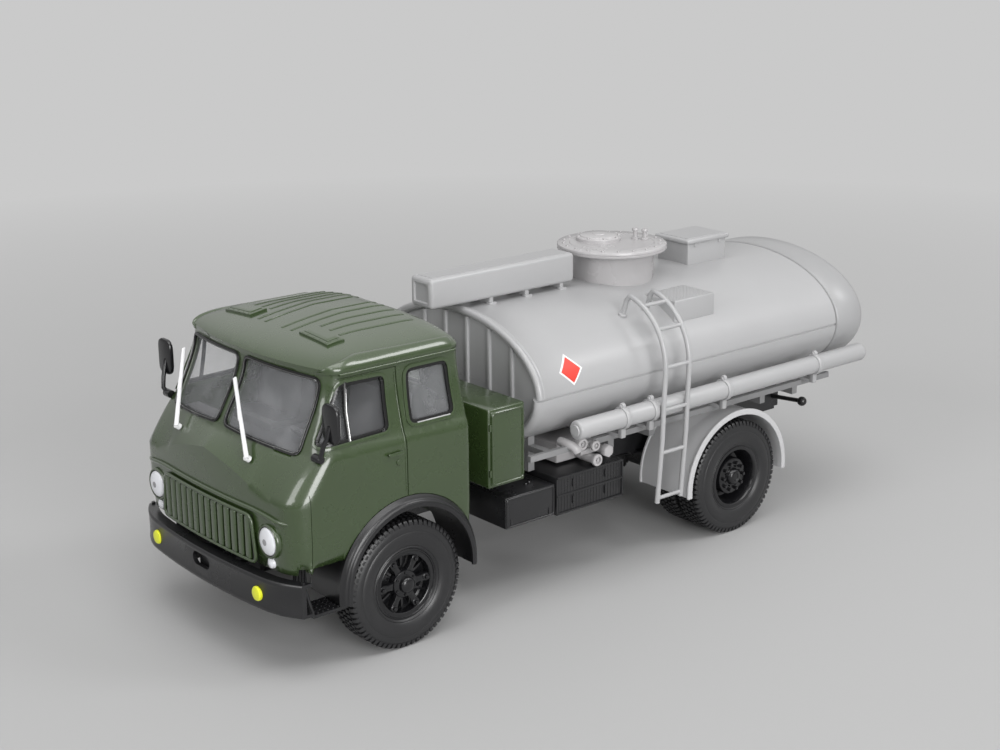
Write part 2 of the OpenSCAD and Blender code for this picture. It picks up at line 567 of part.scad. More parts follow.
module tank_shell() color(grey) difference() {
    union() {
        tank_span(tank_joint_x, tank_front_x);
        tank_span(tank_front_x - rim_w, tank_front_x, -rim_h);
        slab([tank_joint_x, -tank_a - 0.2, tank_z - 0.3], [tank_front_x, tank_a + 0.2, tank_z + 0.3]);
    }
    difference() {
        tank_span(tank_front_x - bulkhead_in, tank_front_x + 1, 1);
        mirrored() for (y = bulkhead_ribs)
            slab([tank_front_x - 3, y - 0.5, tank_z - tank_b],
                [tank_front_x - 0.3, y + 0.5, tank_z + tank_b]);
    }
}
// Rear head: [distance behind the straight part, inset]
head_steps = [[0, -0.25], [2, 1], [4.4, 5], [6.3, 9]];
module tank_rear_section() color([0.68, 0.68, 0.69]) {
    tank_span(head_x, tank_joint_x, -0.25);
    for (i = [0:len(head_steps) - 2]) hull() for (q = [head_steps[i], head_steps[i + 1]])
        let (x = max(head_x - q[0], tank_rear_x)) tank_span(x, x + 0.01, q[1]);
}
flange_z = tank_top_z + 5.8;
flange_t = 1.3;
module manhole_drum() color(grey) difference() {
    union() {
        translate([manhole_x, 0, tank_top_z - 3]) cylinder(r = drum_r, h = flange_z - tank_top_z + 3.1);
        translate([manhole_x, 0, flange_z]) cylinder(r = flange_r, h = flange_t);
    }
    tank_room();
}
vent_rows = [[-6.2, 0.9], [-7, 3]];
module manhole_lid() color(grey) translate([manhole_x, 0, flange_z + flange_t]) {
    translate([0.4, -3.8, 0]) {
        cylinder(r = 4.9, h = 0.9);
        translate([0, 0, 0.9]) cylinder(r = 4.1, h = 0.3);
    }
    for (p = vent_rows) translate([p[0], p[1], 0]) {
        cylinder(r = 0.5, h = 1.8);
        translate([0, 0, 1.8]) cylinder(r = 0.7, h = 0.6);
    }
}
case_x = [tank_front_x - 30.2, tank_front_x + 8.1];
case_y = 3.4;
case_z = [tank_top_z + 1.1, tank_top_z + 7.3];
module pipe_case() color(grey) {
    difference() {
        slab([case_x[0], -case_y, case_z[0]], [case_x[1], case_y, case_z[1]]);
        slab([case_x[1] - 0.5, 0.6 - case_y, case_z[0] + 0.6],
            [case_x[1] + 1, case_y - 0.6, case_z[1] - 0.6]);
    }
    difference() {
        for (x = [2.8, 12.4, 22]) slab([case_x[0] + x, -3, tank_top_z - 1],
            [case_x[0] + x + 1, 3, case_z[0]]);
        tank_room();
    }
}
rear_case_x = [manhole_x - 31.7, manhole_x - 18.3];
module rear_case() color(grey) difference() {
    union() {
        slab([rear_case_x[0] + 0.6, -4.8, tank_top_z - 2], [rear_case_x[1] - 0.6, 4.8, tank_top_z + 4.7]);
        slab([rear_case_x[0], -5.3, tank_top_z + 4.7], [rear_case_x[1], 5.3, tank_top_z + 5.6]);
    }
    tank_room();
}
module walkway() color(grey) difference() {
    slab([manhole_x - 9.4, 12.5, tank_top_z - 9], [manhole_x + 2.6, 22, tank_top_z - 1.7]);
    tank_room();
}
// Ladder: straight below, bent over the tank's shoulder, with a hook down to the tank
ladder_x = [tank_front_x - 30.2, tank_front_x - 37];
ladder_t = 1.1;
hose_y = tank_a + 1.8;
bend_c = [16.5, tank_z + 1.1];
bend_in = hose_y + hose_r + seat_gap - bend_c[0];
function ladder_edge(r) = concat([[bend_c[0] + r, 14]], arc(bend_c[0], bend_c[1], r, 0, 75, 8));
hook = [[19, tank_z + 15.2], [17, tank_z + 10.85], [18.1, tank_z + 10.4], [19.7, tank_z + 14.1]];
rung_z = [15, 24.9, 34.1, 43.1];
rung_angles = [36, 61];
module rung(y, z) rod([ladder_x[0], y, z], [ladder_x[1], y, z], 0.45, 16);
module ladder() color(grey) {
    mid_r = bend_in + ladder_t/2;
    for (x = ladder_x) across_x(x - ladder_t/2, x + ladder_t/2)
        polygon(concat(ladder_edge(bend_in + ladder_t), hook, reversed(ladder_edge(bend_in))));
    for (z = rung_z) rung(bend_c[0] + mid_r, z);
    for (a = rung_angles) rung(bend_c[0] + mid_r*cos(a), bend_c[1] + mid_r*sin(a));
}
hose_x = [tank_rear_x + 7.3, tank_front_x - 8];
clamp_x = [tank_front_x - 21.6, ladder_x[0] + 0.65, tank_front_x - 51.3, tank_front_x - 80.6];
clamp_t = 1.2;
module hose_tubes() color(grey) mirrored() {
    along_x([hose_x[0], hose_y, hose_z]) cylinder(r = hose_r, h = hose_x[1] - hose_x[0]);
    for (x = clamp_x) {
        along_x([x, hose_y, hose_z]) cylinder(r = hose_r + 0.35, h = clamp_t);
        slab([x, hose_y - 0.5, hose_z + hose_r], [x + clamp_t, hose_y + 0.5, hose_z + hose_r + 1.2]);
        slab([x, hose_y - 0.7, ledge_z[1] + seat_gap], [x + clamp_t, hose_y + 0.5, hose_z - hose_r]);
        slab([x, ledge_y[0], ledge_z[1] + seat_gap], [x + clamp_t, hose_y - 0.6, ledge_z[1] + 0.8]);
    }
}
// Valves on the left: [x from the tank's front, height, radius, first y, last y]
valve_x = [tank_front_x - 20, tank_front_x - 10.4];
valve_rows = [[-11.9, 29.8, 1, ledge_y[1] + seat_gap, 26.4],
    [-15.3, 28.8, 0.85, ledge_y[1] + seat_gap, 26.6],
    [-16.2, 25.4, 1, 19, 26.2]];
drain_at = [tank_rear_x + 9.8, 12];
module valves() color(grey) difference() {
    union() {
        slab([valve_x[0], frame_y + seat_gap, 24.4], [valve_x[1], 20, ledge_z[0]]);
        for (q = valve_rows) along_y([tank_front_x + q[0], q[3], q[1]]) cylinder(r = q[2], h = q[4] - q[3]);
        along_y([tank_front_x - 18.8, 19, 26.9]) cylinder(r = 0.9, h = 7);
        along_y([tank_front_x - 18.8, 25, 26.9]) cylinder(r = 1.35, h = 1.6, $fn = 6);
        translate([drain_at[0], drain_at[1], 25]) cylinder(r = 1.2, h = 5);
        translate([drain_at[0], drain_at[1], 23.6]) cylinder(r = 1.8, h = 1.6);
    }
    tank_room(0.25);
}
rear_guard = [[14.2, 12.8], [15, 12.8], [15, 27.3], [15.5, 27.3], [15.5, 28], [14.2, 28]];
module rear_mudguards() color(grey) mirrored() {
    axle_arc([rear_x, axle_z], rear_guard, -5, 184);
    slab([rear_x - 1, frame_y + seat_gap, 25], [rear_x + 1, 13.2, axle_z + 15]);
}
lamp_arm_x = frame_rear_x + 0.8;
module rear_lamps() color(dark) mirrored() {
    rod([lamp_arm_x, frame_y + seat_gap, 20.8], [lamp_arm_x, 18.6, 21.6], 0.5, 16);
    translate([lamp_arm_x, 19, 21.6]) sphere(r = 1.1, $fn = 24);
}
module tow_hook() color(dark) {
    slab([frame_rear_x - 1.2, -frame_y, frame_z + 0.6], [frame_rear_x, frame_y, frame_top_z - 0.6]);
    along_x([frame_rear_x - 3, 0, frame_z + 2.6]) cylinder(r = 1.4, h = 1.8);
}

// Wheels
shoulder = 0.43;
module tyre(w) rotate([-90, 0, 0]) difference() {
    union() {
        rotate_extrude($fn = 36) polygon([[rim_r - 0.5, -0.34*w], [9.6, -w/2],
            [tread_r - 0.25, -shoulder*w],
            [tread_r - 0.25, shoulder*w], [9.6, w/2], [rim_r - 0.5, 0.34*w]]);
        translate([0, 0, 0.01*w - shoulder*w]) linear_extrude(2*(shoulder - 0.01)*w)
            polygon([for (i = [0:lug_count - 1], k = [0:3])
                let (a = 360*(i + [0, 0, 0.55, 0.55][k])/lug_count, r = (k == 1 || k == 2) ? tyre_r : tread_r)
                [r*cos(a), r*sin(a)]]);
    }
    translate([0, 0, -w]) cylinder(r = rim_r, h = 2*w, $fn = 36);
}
flange_in = 0.8;
arm_w = 1.9;
cap_r = 1.7;
module rim_ring(z0, z1) rotate_extrude() polygon([[rim_r - flange_in, z0], [rim_r, z0], [rim_r, z1],
    [rim_r - flange_in, z1]]);
module front_rims() color(black) mirrored() along_y([front_x, front_y, axle_z]) difference() {
    union() {
        rim_ring(-2.6, 2.7);
        translate([0, 0, -0.6]) cylinder(r = rim_r - 0.5, h = 0.8);
        translate([0, 0, -1.4]) cylinder(r = 2.5, h = 3.4);
        cylinder(r = cap_r, h = 4.1);
        for (a = [0:60:300]) rotate([0, 0, a]) translate([0, -arm_w/2, 0]) cube([rim_r - 0.5, arm_w, 1.5]);
    }
    translate([0, 0, -8]) cylinder(r = pin_r, h = 9);
}
module rear_rims() color(black) mirrored() along_y([rear_x, 0, axle_z]) difference() {
    union() {
        rim_ring(twin_in_y - 2.4, twin_out_y + 2.7);
        translate([0, 0, twin_out_y - 1.6]) cylinder(r = rim_r - 0.5, h = 0.8);
        translate([0, 0, twin_in_y - 2]) cylinder(r = 2.6, h = twin_out_y - twin_in_y + 2);
        translate([0, 0, twin_out_y - 1]) cylinder(r = 3.8, h = 3.4);
        translate([0, 0, twin_out_y]) cylinder(r = cap_r, h = 3.4);
    }
    translate([0, 0, -1]) cylinder(r = pin_r, h = twin_out_y - 0.5);
}
module front_axle_pin() color("silver") along_y([front_x, -front_y - 1, axle_z])
    cylinder(r = pin_r, h = 2*front_y + 2);
module rear_axle_pin() color("silver") along_y([rear_x, 1.5 - twin_out_y, axle_z])
    cylinder(r = pin_r, h = 2*twin_out_y - 3);
module front_tyres() color([0.12, 0.12, 0.12]) mirrored()
    translate([front_x, front_y, axle_z]) tyre(tyre_w);
module rear_tyres() color([0.12, 0.12, 0.12]) mirrored()
    for (y = [twin_in_y, twin_out_y]) translate([rear_x, y, axle_z]) tyre(twin_w);

cab_shell();
cab_glazing();
cab_floor();
seats();
dashboard();
grille();
headlamps();
indicators();
bumper();
fog_lamps();
front_mudguards();
cab_steps();
wipers();
mirrors();
locker();
chassis_frame();
engine_block();
prop_shaft();
front_axle();
rear_axle();
leaf_springs();
exhaust();
battery_box();
tool_box();
fuel_tank();
tank_subframe();
tank_shell();
tank_rear_section();
manhole_drum();
manhole_lid();
pipe_case();
rear_case();
walkway();
ladder();
hose_tubes();
valves();
rear_mudguards();
rear_lamps();
tow_hook();
front_axle_pin();
front_rims();
front_tyres();
rear_axle_pin();
rear_rims();
rear_tyres();
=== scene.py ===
"""Scale model tanker truck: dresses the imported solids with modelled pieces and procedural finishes.

Lengths inside the operators are millimetres; each piece is scaled to metres when it is finished.
"""
import json
import math

import bmesh
import bpy
from mathutils import Matrix, Vector
from mathutils.bvhtree import BVHTree


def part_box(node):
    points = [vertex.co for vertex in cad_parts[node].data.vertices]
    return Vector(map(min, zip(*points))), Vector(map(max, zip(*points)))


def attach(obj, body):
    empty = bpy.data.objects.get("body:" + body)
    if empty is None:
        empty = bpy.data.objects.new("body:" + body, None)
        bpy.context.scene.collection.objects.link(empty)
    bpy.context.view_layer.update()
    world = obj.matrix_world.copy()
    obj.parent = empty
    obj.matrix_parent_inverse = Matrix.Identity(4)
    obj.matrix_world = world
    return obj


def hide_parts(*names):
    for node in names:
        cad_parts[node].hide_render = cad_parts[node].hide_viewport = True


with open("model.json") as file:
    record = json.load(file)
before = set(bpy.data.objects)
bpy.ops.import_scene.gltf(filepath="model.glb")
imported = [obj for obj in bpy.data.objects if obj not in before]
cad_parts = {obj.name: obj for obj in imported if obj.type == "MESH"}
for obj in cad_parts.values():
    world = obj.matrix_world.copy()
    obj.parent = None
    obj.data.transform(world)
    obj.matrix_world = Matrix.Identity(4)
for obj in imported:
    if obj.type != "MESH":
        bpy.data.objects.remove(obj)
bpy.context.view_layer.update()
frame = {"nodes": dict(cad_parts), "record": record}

bl_info = {
    "name": "Scale model tanker truck",
    "version": (1, 0, 0),
    "blender": (4, 5, 0),
    "location": "View3D > Sidebar > Truck",
    "description": "Models and finishes a collector's scale model of a tanker truck",
    "category": "Add Mesh",
}

MM = 0.001
FORWARD, LEFT, UP = (1, 0, 0), (0, 1, 0), (0, 0, 1)
ROOT, FRONT_SET, REAR_SET = "root", "front_wheelset", "rear_wheelset"


def node_box(name):
    """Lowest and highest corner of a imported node, in millimetres."""
    low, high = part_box(name)
    return low / MM, high / MM


# Sizes and colours that a user would change

class TruckColours(bpy.types.PropertyGroup):
    """Paint and plastic colours"""
    cab: bpy.props.FloatVectorProperty(
        name="Cab paint", description="Lacquer of the cab and locker", subtype="COLOR",
        default=(0.028, 0.049, 0.0145))
    tank: bpy.props.FloatVectorProperty(
        name="Tank grey", description="Plastic of the tank and its fittings", subtype="COLOR",
        default=(0.36, 0.36, 0.365))
    black: bpy.props.FloatVectorProperty(
        name="Black plastic", description="Plastic of the bumper, mudguards and chassis", subtype="COLOR",
        default=(0.011, 0.011, 0.012))
    yellow: bpy.props.FloatVectorProperty(
        name="Yellow lamps", description="Print of the lamps in the bumper", subtype="COLOR",
        default=(0.72, 0.75, 0.02))
    red: bpy.props.FloatVectorProperty(
        name="Red sign", description="Face of the diamond sign", subtype="COLOR",
        default=(0.62, 0.045, 0.03))


class TruckStage(bpy.types.PropertyGroup):
    """Camera, lamps and floor"""
    lens: bpy.props.FloatProperty(
        name="Lens", description="Focal length of the camera in millimetres", default=61.74, min=20, max=200)
    azimuth: bpy.props.FloatProperty(
        name="Azimuth", description="Direction of the camera, from the truck's nose towards its left",
        subtype="ANGLE", default=math.radians(50.171))
    elevation: bpy.props.FloatProperty(
        name="Elevation", description="Height angle of the camera", subtype="ANGLE", default=math.radians(16.495))
    roll: bpy.props.FloatProperty(
        name="Roll", description="Tilt of the camera about its own line of sight", subtype="ANGLE",
        default=math.radians(-0.409))
    distance: bpy.props.FloatProperty(
        name="Distance", description="Camera to the point it looks at", subtype="DISTANCE", unit="LENGTH",
        default=0.35971)
    floor: bpy.props.FloatVectorProperty(
        name="Floor", description="Colour of the floor", subtype="COLOR", default=(0.425, 0.425, 0.425))
    backdrop: bpy.props.FloatVectorProperty(
        name="Backdrop", description="Colour that the floor fades to far behind", subtype="COLOR",
        default=(0.59, 0.59, 0.59))


# Shader maths and finishes

class Socket:
    """Wraps a shader socket, so that an expression on values adds its Math nodes."""

    def __init__(self, finish, socket):
        self.finish = finish
        self.socket = socket

    def _math(self, operation, *values):
        return self.finish.node("ShaderNodeMath", {"operation": operation}, *values)

    def __add__(self, other): return self._math("ADD", self, other)
    def __radd__(self, other): return self._math("ADD", other, self)
    def __sub__(self, other): return self._math("SUBTRACT", self, other)
    def __rsub__(self, other): return self._math("SUBTRACT", other, self)
    def __mul__(self, other): return self._math("MULTIPLY", self, other)
    def __rmul__(self, other): return self._math("MULTIPLY", other, self)
    def clamped(self): return self._math("MINIMUM", self._math("MAXIMUM", self, 0.0), 1.0)


class Finish:
    """The nodes of a material or of the world; node() is the one way that it gets a node."""

    def __init__(self, owner, output="ShaderNodeOutputMaterial"):
        self.owner = owner
        owner.use_nodes = True
        self.tree = owner.node_tree
        self.tree.nodes.clear()
        self.out = self.tree.nodes.new(output)

    def node(self, kind, settings=None, *values, output=0, **named):
        """Adds a node, sets its settings first, then its sockets by place or by name."""
        made = self.tree.nodes.new(kind)
        for key, value in (settings or {}).items():
            setattr(made, key, value)
        pairs = list(zip(made.inputs, values)) + [(made.inputs[k.replace("_", " ")], v) for k, v in named.items()]
        for socket, value in pairs:
            if isinstance(value, Socket):
                self.tree.links.new(value.socket, socket)
            elif value is not None:
                socket.default_value = (*value, 1) if socket.type == "RGBA" else value
        return Socket(self, made.outputs[output])

    def place(self, output="Object"):
        return self.node("ShaderNodeTexCoord", output=output)

    def noise(self, scale, detail=3.0, roughness=0.55):
        return self.node("ShaderNodeTexNoise", None, Vector=self.place(),
                         Scale=scale, Detail=detail, Roughness=roughness)

    def split(self, vector):
        """The X, Y and Z of a vector, as three values."""
        made = self.node("ShaderNodeSeparateXYZ", None, vector)
        return [Socket(self, s) for s in made.socket.node.outputs]

    def mix(self, factor, a, b):
        """A colour between a and b; the sockets left out are those for numbers and vectors."""
        return self.node("ShaderNodeMix", {"data_type": "RGBA"}, factor, *[None] * 5, a, b, output=2)

    def bump(self, height, strength, distance):
        return self.node("ShaderNodeBump", None, Strength=strength, Distance=distance, Height=height)

    def end(self, shader):
        """Links a shader to the output."""
        self.tree.links.new(shader.socket, self.out.inputs[0])
        return self.owner

    def surface(self, **sockets):
        """The material's shader. A varying value is a Socket, a constant is set on the socket itself."""
        return self.end(self.node("ShaderNodeBsdfPrincipled", None, **sockets))


def shade(colour, factor):
    return tuple(min(1.0, c * factor) for c in colour)


def new_finish(name):
    return Finish(bpy.data.materials.new(name))


def lacquer(colour):
    """Satin lacquer sprayed on a casting: faint orange peel and cloudiness."""
    f = new_finish("cab_lacquer")
    cloud = f.noise(60, 4)
    return f.surface(
        Base_Color=f.mix(cloud, shade(colour, 0.9), shade(colour, 1.12)),
        Roughness=0.22 + 0.12 * f.noise(220, 5),
        Normal=f.bump(f.noise(700, 2), 0.02, 0.00006),
        Coat_Weight=0.8, Coat_Roughness=0.08)


def moulded(name, colour, low, high, grain=0.1, contrast=0.06):
    """Moulded plastic: its roughness and colour drift a little, and fine grain breaks its gloss."""
    f = new_finish(name)
    cloud = f.noise(45, 4)
    return f.surface(
        Base_Color=f.mix(cloud, shade(colour, 1 - contrast), shade(colour, 1 + contrast)),
        Roughness=low + (high - low) * f.noise(150, 5),
        Normal=f.bump(f.noise(1600, 3), grain, 0.00006))


def metal(name, colour, roughness):
    """Etched or turned metal with a fine grain."""
    f = new_finish(name)
    grain = f.noise(800, 4)
    return f.surface(
        Base_Color=f.mix(grain, shade(colour, 0.85), shade(colour, 1.1)), Metallic=1.0,
        Roughness=roughness + 0.15 * grain, Normal=f.bump(grain, 0.08, 0.00005))


def tyre_rubber():
    """Black rubber with a little dust."""
    f = new_finish("tyre_rubber")
    dust = f.noise(120, 6, 0.65)
    return f.surface(
        Base_Color=f.mix(dust, (0.009, 0.009, 0.01), (0.018, 0.018, 0.019)),
        Roughness=0.28 + 0.2 * f.noise(300, 4), Normal=f.bump(f.noise(1500, 4), 0.15, 0.00006))


def clear_plastic():
    """Clear moulded glazing with faint haze, and a painted reflection on the windscreen and the rear windows."""
    f = new_finish("clear_plastic")
    haze = f.noise(90, 4)
    x = f.split(f.place())[0]
    # The windscreen and the rear windows get a paler, more opaque grainy layer than the doors' glass between them:
    # painted reflection
    painted_reflection = ((x - 0.066) * 500).clamped() + ((0.0515 - x) * 500).clamped()
    return f.surface(
        Base_Color=f.mix(haze, (0.42, 0.43, 0.45), (0.6, 0.61, 0.63)),
        Alpha=0.02 + 0.12 * haze * haze + 0.22 * painted_reflection * f.noise(330, 6, 0.7),
        Roughness=0.04 + 0.1 * haze, Normal=f.bump(f.noise(160, 2), 0.05, 0.0001))


def lamp_print(name, colour):
    """Glossy print or clear lacquer over a lamp's colour."""
    f = new_finish(name)
    return f.surface(
        Base_Color=f.mix(f.noise(300, 3), shade(colour, 0.92), shade(colour, 1.05)),
        Roughness=0.3 + 0.1 * f.noise(400, 3), Coat_Weight=0.3, Coat_Roughness=0.1)


def make_finishes():
    c = bpy.context.scene.truck_colours
    return {
        "cab_paint": lacquer(c.cab),
        "tank_paint": moulded("tank_plastic", c.tank, 0.25, 0.36),
        "frame_grey": moulded("subframe_plastic", shade(c.tank, 0.62), 0.4, 0.55),
        "black_plastic": moulded("black_plastic", c.black, 0.22, 0.36, 0.08, 0.12),
        "interior": moulded("interior_plastic", (0.055, 0.055, 0.058), 0.5, 0.65, 0.2),
        "glazing": clear_plastic(),
        "lamp_silver": lamp_print("lamp_silver", (0.7, 0.71, 0.74)),
        "lamp_yellow": lamp_print("lamp_yellow", c.yellow),
        "etched_metal": metal("etched_metal", (0.86, 0.86, 0.86), 0.28),
        "steel_pin": metal("steel_pin", (0.55, 0.55, 0.56), 0.3),
        "tyre": tyre_rubber(),
        "gasket": moulded("gasket_rubber", (0.005, 0.005, 0.005), 0.2, 0.32, 0.05),
        "wheel_paint": moulded("wheel_plastic", (0.007, 0.007, 0.008), 0.14, 0.24, 0.06, 0.2),
        # Near-black matte finish behind the grille ribs: painted shade in the grille's recess
        "grille_painted_shade": moulded("grille_shade_black", (0.006, 0.006, 0.006), 0.6, 0.75),
        "sign_white": moulded("sign_white", (0.75, 0.75, 0.75), 0.4, 0.5, 0.03, 0.02),
        "sign_red": moulded("sign_red", c.red, 0.4, 0.5, 0.03, 0.03),
        "tank_rear_paint": moulded("tank_rear_plastic", shade(c.tank, 0.86), 0.26, 0.38),
        # A lighter copy of the tank grey for the rear mudguards: painted light that brightens their forward-facing
        # skirts
        "rear_guard_painted_light": moulded("rear_guard_painted_light_plastic", shade(c.tank, 1.3), 0.28, 0.4),
        "neck_paint": moulded("neck_silver", (0.41, 0.4, 0.405), 0.2, 0.32, 0.12, 0.12),
        "black_satin": moulded("black_satin", (0.014, 0.014, 0.015), 0.22, 0.36, 0.08, 0.15),
        "black_gloss": moulded("black_gloss", (0.008, 0.008, 0.009), 0.16, 0.26, 0.06, 0.2),
        "wiper_silver": moulded("wiper_silver", (0.78, 0.78, 0.79), 0.2, 0.3, 0.05, 0.03),
        "trim_metal": metal("trim_metal", (0.22, 0.22, 0.22), 0.3),
        "lamp_grey": lamp_print("lamp_grey", (0.25, 0.25, 0.26)),
    }


finishes = {}


def finish_of(slot):
    """A finish by its name, with all of them made at the first call."""
    if not finishes:
        finishes.update(make_finishes())
    return finishes[slot]


# Modelling helpers; lengths are millimetres

MERGE = 1e-4  # vertices nearer than this are one
ON_CUT = 1e-5  # a vertex nearer to a cut than this lies on it


def between(value, low, high):
    return max(low, min(high, value))


def curve_through(rows, column=1):
    """A smooth curve without overshoot through rows sorted by their first column."""
    xs = [row[0] for row in rows]
    ys = [row[column] for row in rows]
    steps = [(b - a) / (d - c) for a, b, c, d in zip(ys, ys[1:], xs, xs[1:])]
    slopes = [steps[0]] + [2 * a * b / (a + b) if a * b > 0 else 0.0 for a, b in zip(steps, steps[1:])] + [steps[-1]]

    def value(x):
        x = between(x, xs[0], xs[-1])
        i = max(k for k in range(len(xs) - 1) if xs[k] <= x)
        h = xs[i + 1] - xs[i]
        t = (x - xs[i]) / h
        return ((2 * t**3 - 3 * t**2 + 1) * ys[i] + (t**3 - 2 * t**2 + t) * h * slopes[i]
                + (3 * t**2 - 2 * t**3) * ys[i + 1] + (t**3 - t**2) * h * slopes[i + 1])
    return value


def fillet(points, radius, steps=5):
    """The closed outline with its corners rounded by arcs."""
    out = []
    for i, corner in enumerate(points):
        corner = Vector(corner)
        back, ahead = Vector(points[i - 1]) - corner, Vector(points[(i + 1) % len(points)]) - corner
        reach = min(radius, back.length * 0.45, ahead.length * 0.45)
        a, b = corner + back.normalized() * reach, corner + ahead.normalized() * reach
        for k in range(steps + 1):
            t = k / steps
            out.append(a * (1 - t)**2 + corner * 2 * t * (1 - t) + b * t**2)
    return out


def rectangle(a0, a1, b0, b1):
    return [(a0, b0), (a1, b0), (a1, b1), (a0, b1)]


def arc(centre, radius, degrees):
    """Points of a circle, at angles from its first axis towards its second."""
    return [(centre[0] + radius * math.cos(math.radians(a)), centre[1] + radius * math.sin(math.radians(a)))
            for a in degrees]


def turns(count, shift=0.0):
    """Degrees of evenly spaced places round a circle, moved on by a share of their pitch."""
    return [360 * (k + shift) / count for k in range(count)]


def axes(x, y, z):
    """Matrix that turns each axis to the direction given for it."""
    return Matrix((x, y, z)).transposed().to_4x4()


# Stands a drawing up: its y goes to z, and its depth to y
SIDE_UP = axes(FORWARD, UP, LEFT)


def aimed(start, direction):
    """Matrix that moves the z axis to a line from start along direction."""
    return Matrix.Translation(start) @ Vector(direction).to_track_quat("Z", "Y").to_matrix().to_4x4()


def round_edges(bm, verts, width, segments=2, least=30):
    """Bevels the edges between these vertices where the faces meet at an angle over least degrees."""
    chosen = set(verts)
    edges = {e for v in verts for e in v.link_edges if set(e.verts) <= chosen and len(e.link_faces) == 2}
    edges = sorted((e for e in edges if e.calc_face_angle() > math.radians(least)), key=lambda e: e.index)
    bmesh.ops.bevel(bm, geom=edges, offset=width, affect="EDGES", segments=segments, profile=0.5,
                    material=-1, clamp_overlap=True)


def add_block(bm, low, high, bevel=0.0, segments=2):
    low, high = Vector(low), Vector(high)
    place = Matrix.Translation((low + high) / 2) @ Matrix.Diagonal((*(high - low), 1))
    made = bmesh.ops.create_cube(bm, size=1, matrix=place)["verts"]
    if bevel:
        bm.edges.index_update()
        round_edges(bm, made, bevel, segments)


def add_rod(bm, start, end, radius, end_radius=None, segments=24, bevel=0.0):
    start, end = Vector(start), Vector(end)
    length = (end - start).length
    place = aimed(start, end - start) @ Matrix.Translation((0, 0, length / 2))
    made = bmesh.ops.create_cone(bm, cap_ends=True, segments=segments, radius1=radius, depth=length, matrix=place,
                                 radius2=radius if end_radius is None else end_radius)["verts"]
    if bevel:
        bm.edges.index_update()
        round_edges(bm, made, bevel, 2, 40)


def add_turned(bm, profile, start, direction, segments=48, angle=math.tau):
    """Spins a (radius, height) profile about the line from start along direction."""
    kept = set(bm.verts)
    chain = [bm.verts.new((radius, 0, height)) for radius, height in profile]
    links = [bm.edges.new(pair) for pair in zip(chain, chain[1:])]
    bmesh.ops.spin(bm, geom=chain + links, cent=(0, 0, 0), axis=UP, angle=angle, steps=segments,
                   use_merge=angle == math.tau)
    made = [v for v in bm.verts if v not in kept]
    bmesh.ops.remove_doubles(bm, verts=made, dist=MERGE)
    made = [v for v in bm.verts if v not in kept]
    bmesh.ops.transform(bm, matrix=aimed(start, direction), verts=made)
    return made


def add_prism(bm, outline, place, depth, bevel=0.0):
    """Extrudes an outline, drawn in the x and y of the placing matrix, along that matrix's z."""
    face = bm.faces.new([bm.verts.new(place @ Vector((p[0], p[1], 0))) for p in outline])
    made = bmesh.ops.extrude_face_region(bm, geom=[face])["geom"]
    moved = moved_verts(made)
    bmesh.ops.translate(bm, verts=moved, vec=place.to_3x3() @ Vector((0, 0, depth)))
    if bevel:
        bm.edges.index_update()
        bmesh.ops.recalc_face_normals(bm, faces=list({f for v in moved for f in v.link_faces} | {face}))
        round_edges(bm, moved + list(face.verts) if face.is_valid else moved, bevel)


def add_tube(bm, points, radius, segments=14):
    """A round bar that follows points."""
    points = [Vector(p) for p in points]
    aims = [(b - a).normalized() for a, b in zip(points, points[1:])]
    turn = aims[0].to_track_quat("Z", "Y")
    disc = bmesh.ops.create_circle(bm, cap_ends=True, segments=segments, radius=radius,
                                   matrix=Matrix.Translation(points[0]) @ turn.to_matrix().to_4x4())
    face = disc["verts"][0].link_faces[0]
    for i, point in enumerate(points[1:]):
        ahead = aims[i + 1] if i + 1 < len(aims) else aims[i]
        middle = (aims[i] + ahead).normalized()
        new_turn = aims[i].rotation_difference(middle) @ turn if i == 0 else (
            (aims[i - 1] + aims[i]).normalized().rotation_difference(middle) @ turn)
        change = (Matrix.Translation(point) @ new_turn.to_matrix().to_4x4()
                  @ (Matrix.Translation(points[i]) @ turn.to_matrix().to_4x4()).inverted())
        made = bmesh.ops.extrude_face_region(bm, geom=[face, *face.edges, *face.verts])["geom"]
        face = next(g for g in made if isinstance(g, bmesh.types.BMFace))
        bmesh.ops.transform(bm, matrix=change, verts=list(face.verts))
        turn = new_turn


def add_sheet(bm, across, along, place):
    """A grid of faces whose vertices go to place(u, v), with u and v from 0 to 1."""
    made = bmesh.ops.create_grid(bm, x_segments=across, y_segments=along, size=0.5)["verts"]
    for vert in made:
        vert.co = place(between(vert.co.x + 0.5, 0, 1), between(vert.co.y + 0.5, 0, 1))


def add_nuts(bm, places, direction, radius, height):
    for place in places:
        top = Vector(place) + Vector(direction).normalized() * height
        add_rod(bm, place, top, radius, segments=6, bevel=radius * 0.18)


def mirror_left(bm):
    """Adds the right side to what is modelled on the left."""
    kept = set(bm.faces)
    bmesh.ops.mirror(bm, geom=bm.verts[:] + bm.edges[:] + bm.faces[:], axis="Y", merge_dist=MERGE)
    bmesh.ops.reverse_faces(bm, faces=[f for f in bm.faces if f not in kept])
    bm.normal_update()


def face_left(bm):
    """Turns the faces of a sheet on the left side outwards."""
    bm.normal_update()
    if sum(f.normal.y for f in bm.faces) < 0:
        bmesh.ops.reverse_faces(bm, faces=bm.faces)


def remove_faces(bm, faces):
    bmesh.ops.delete(bm, geom=faces, context="FACES")


def with_rims(faces):
    """Faces with their edges and vertices."""
    return faces + list({e for f in faces for e in f.edges}) + list({v for f in faces for v in f.verts})


def moved_verts(geom):
    return [g for g in geom if isinstance(g, bmesh.types.BMVert)]


def add_ring(bm, points, radius, segments):
    """A round bead along a closed line of points."""
    add_tube(bm, points + points[:2], radius, segments)


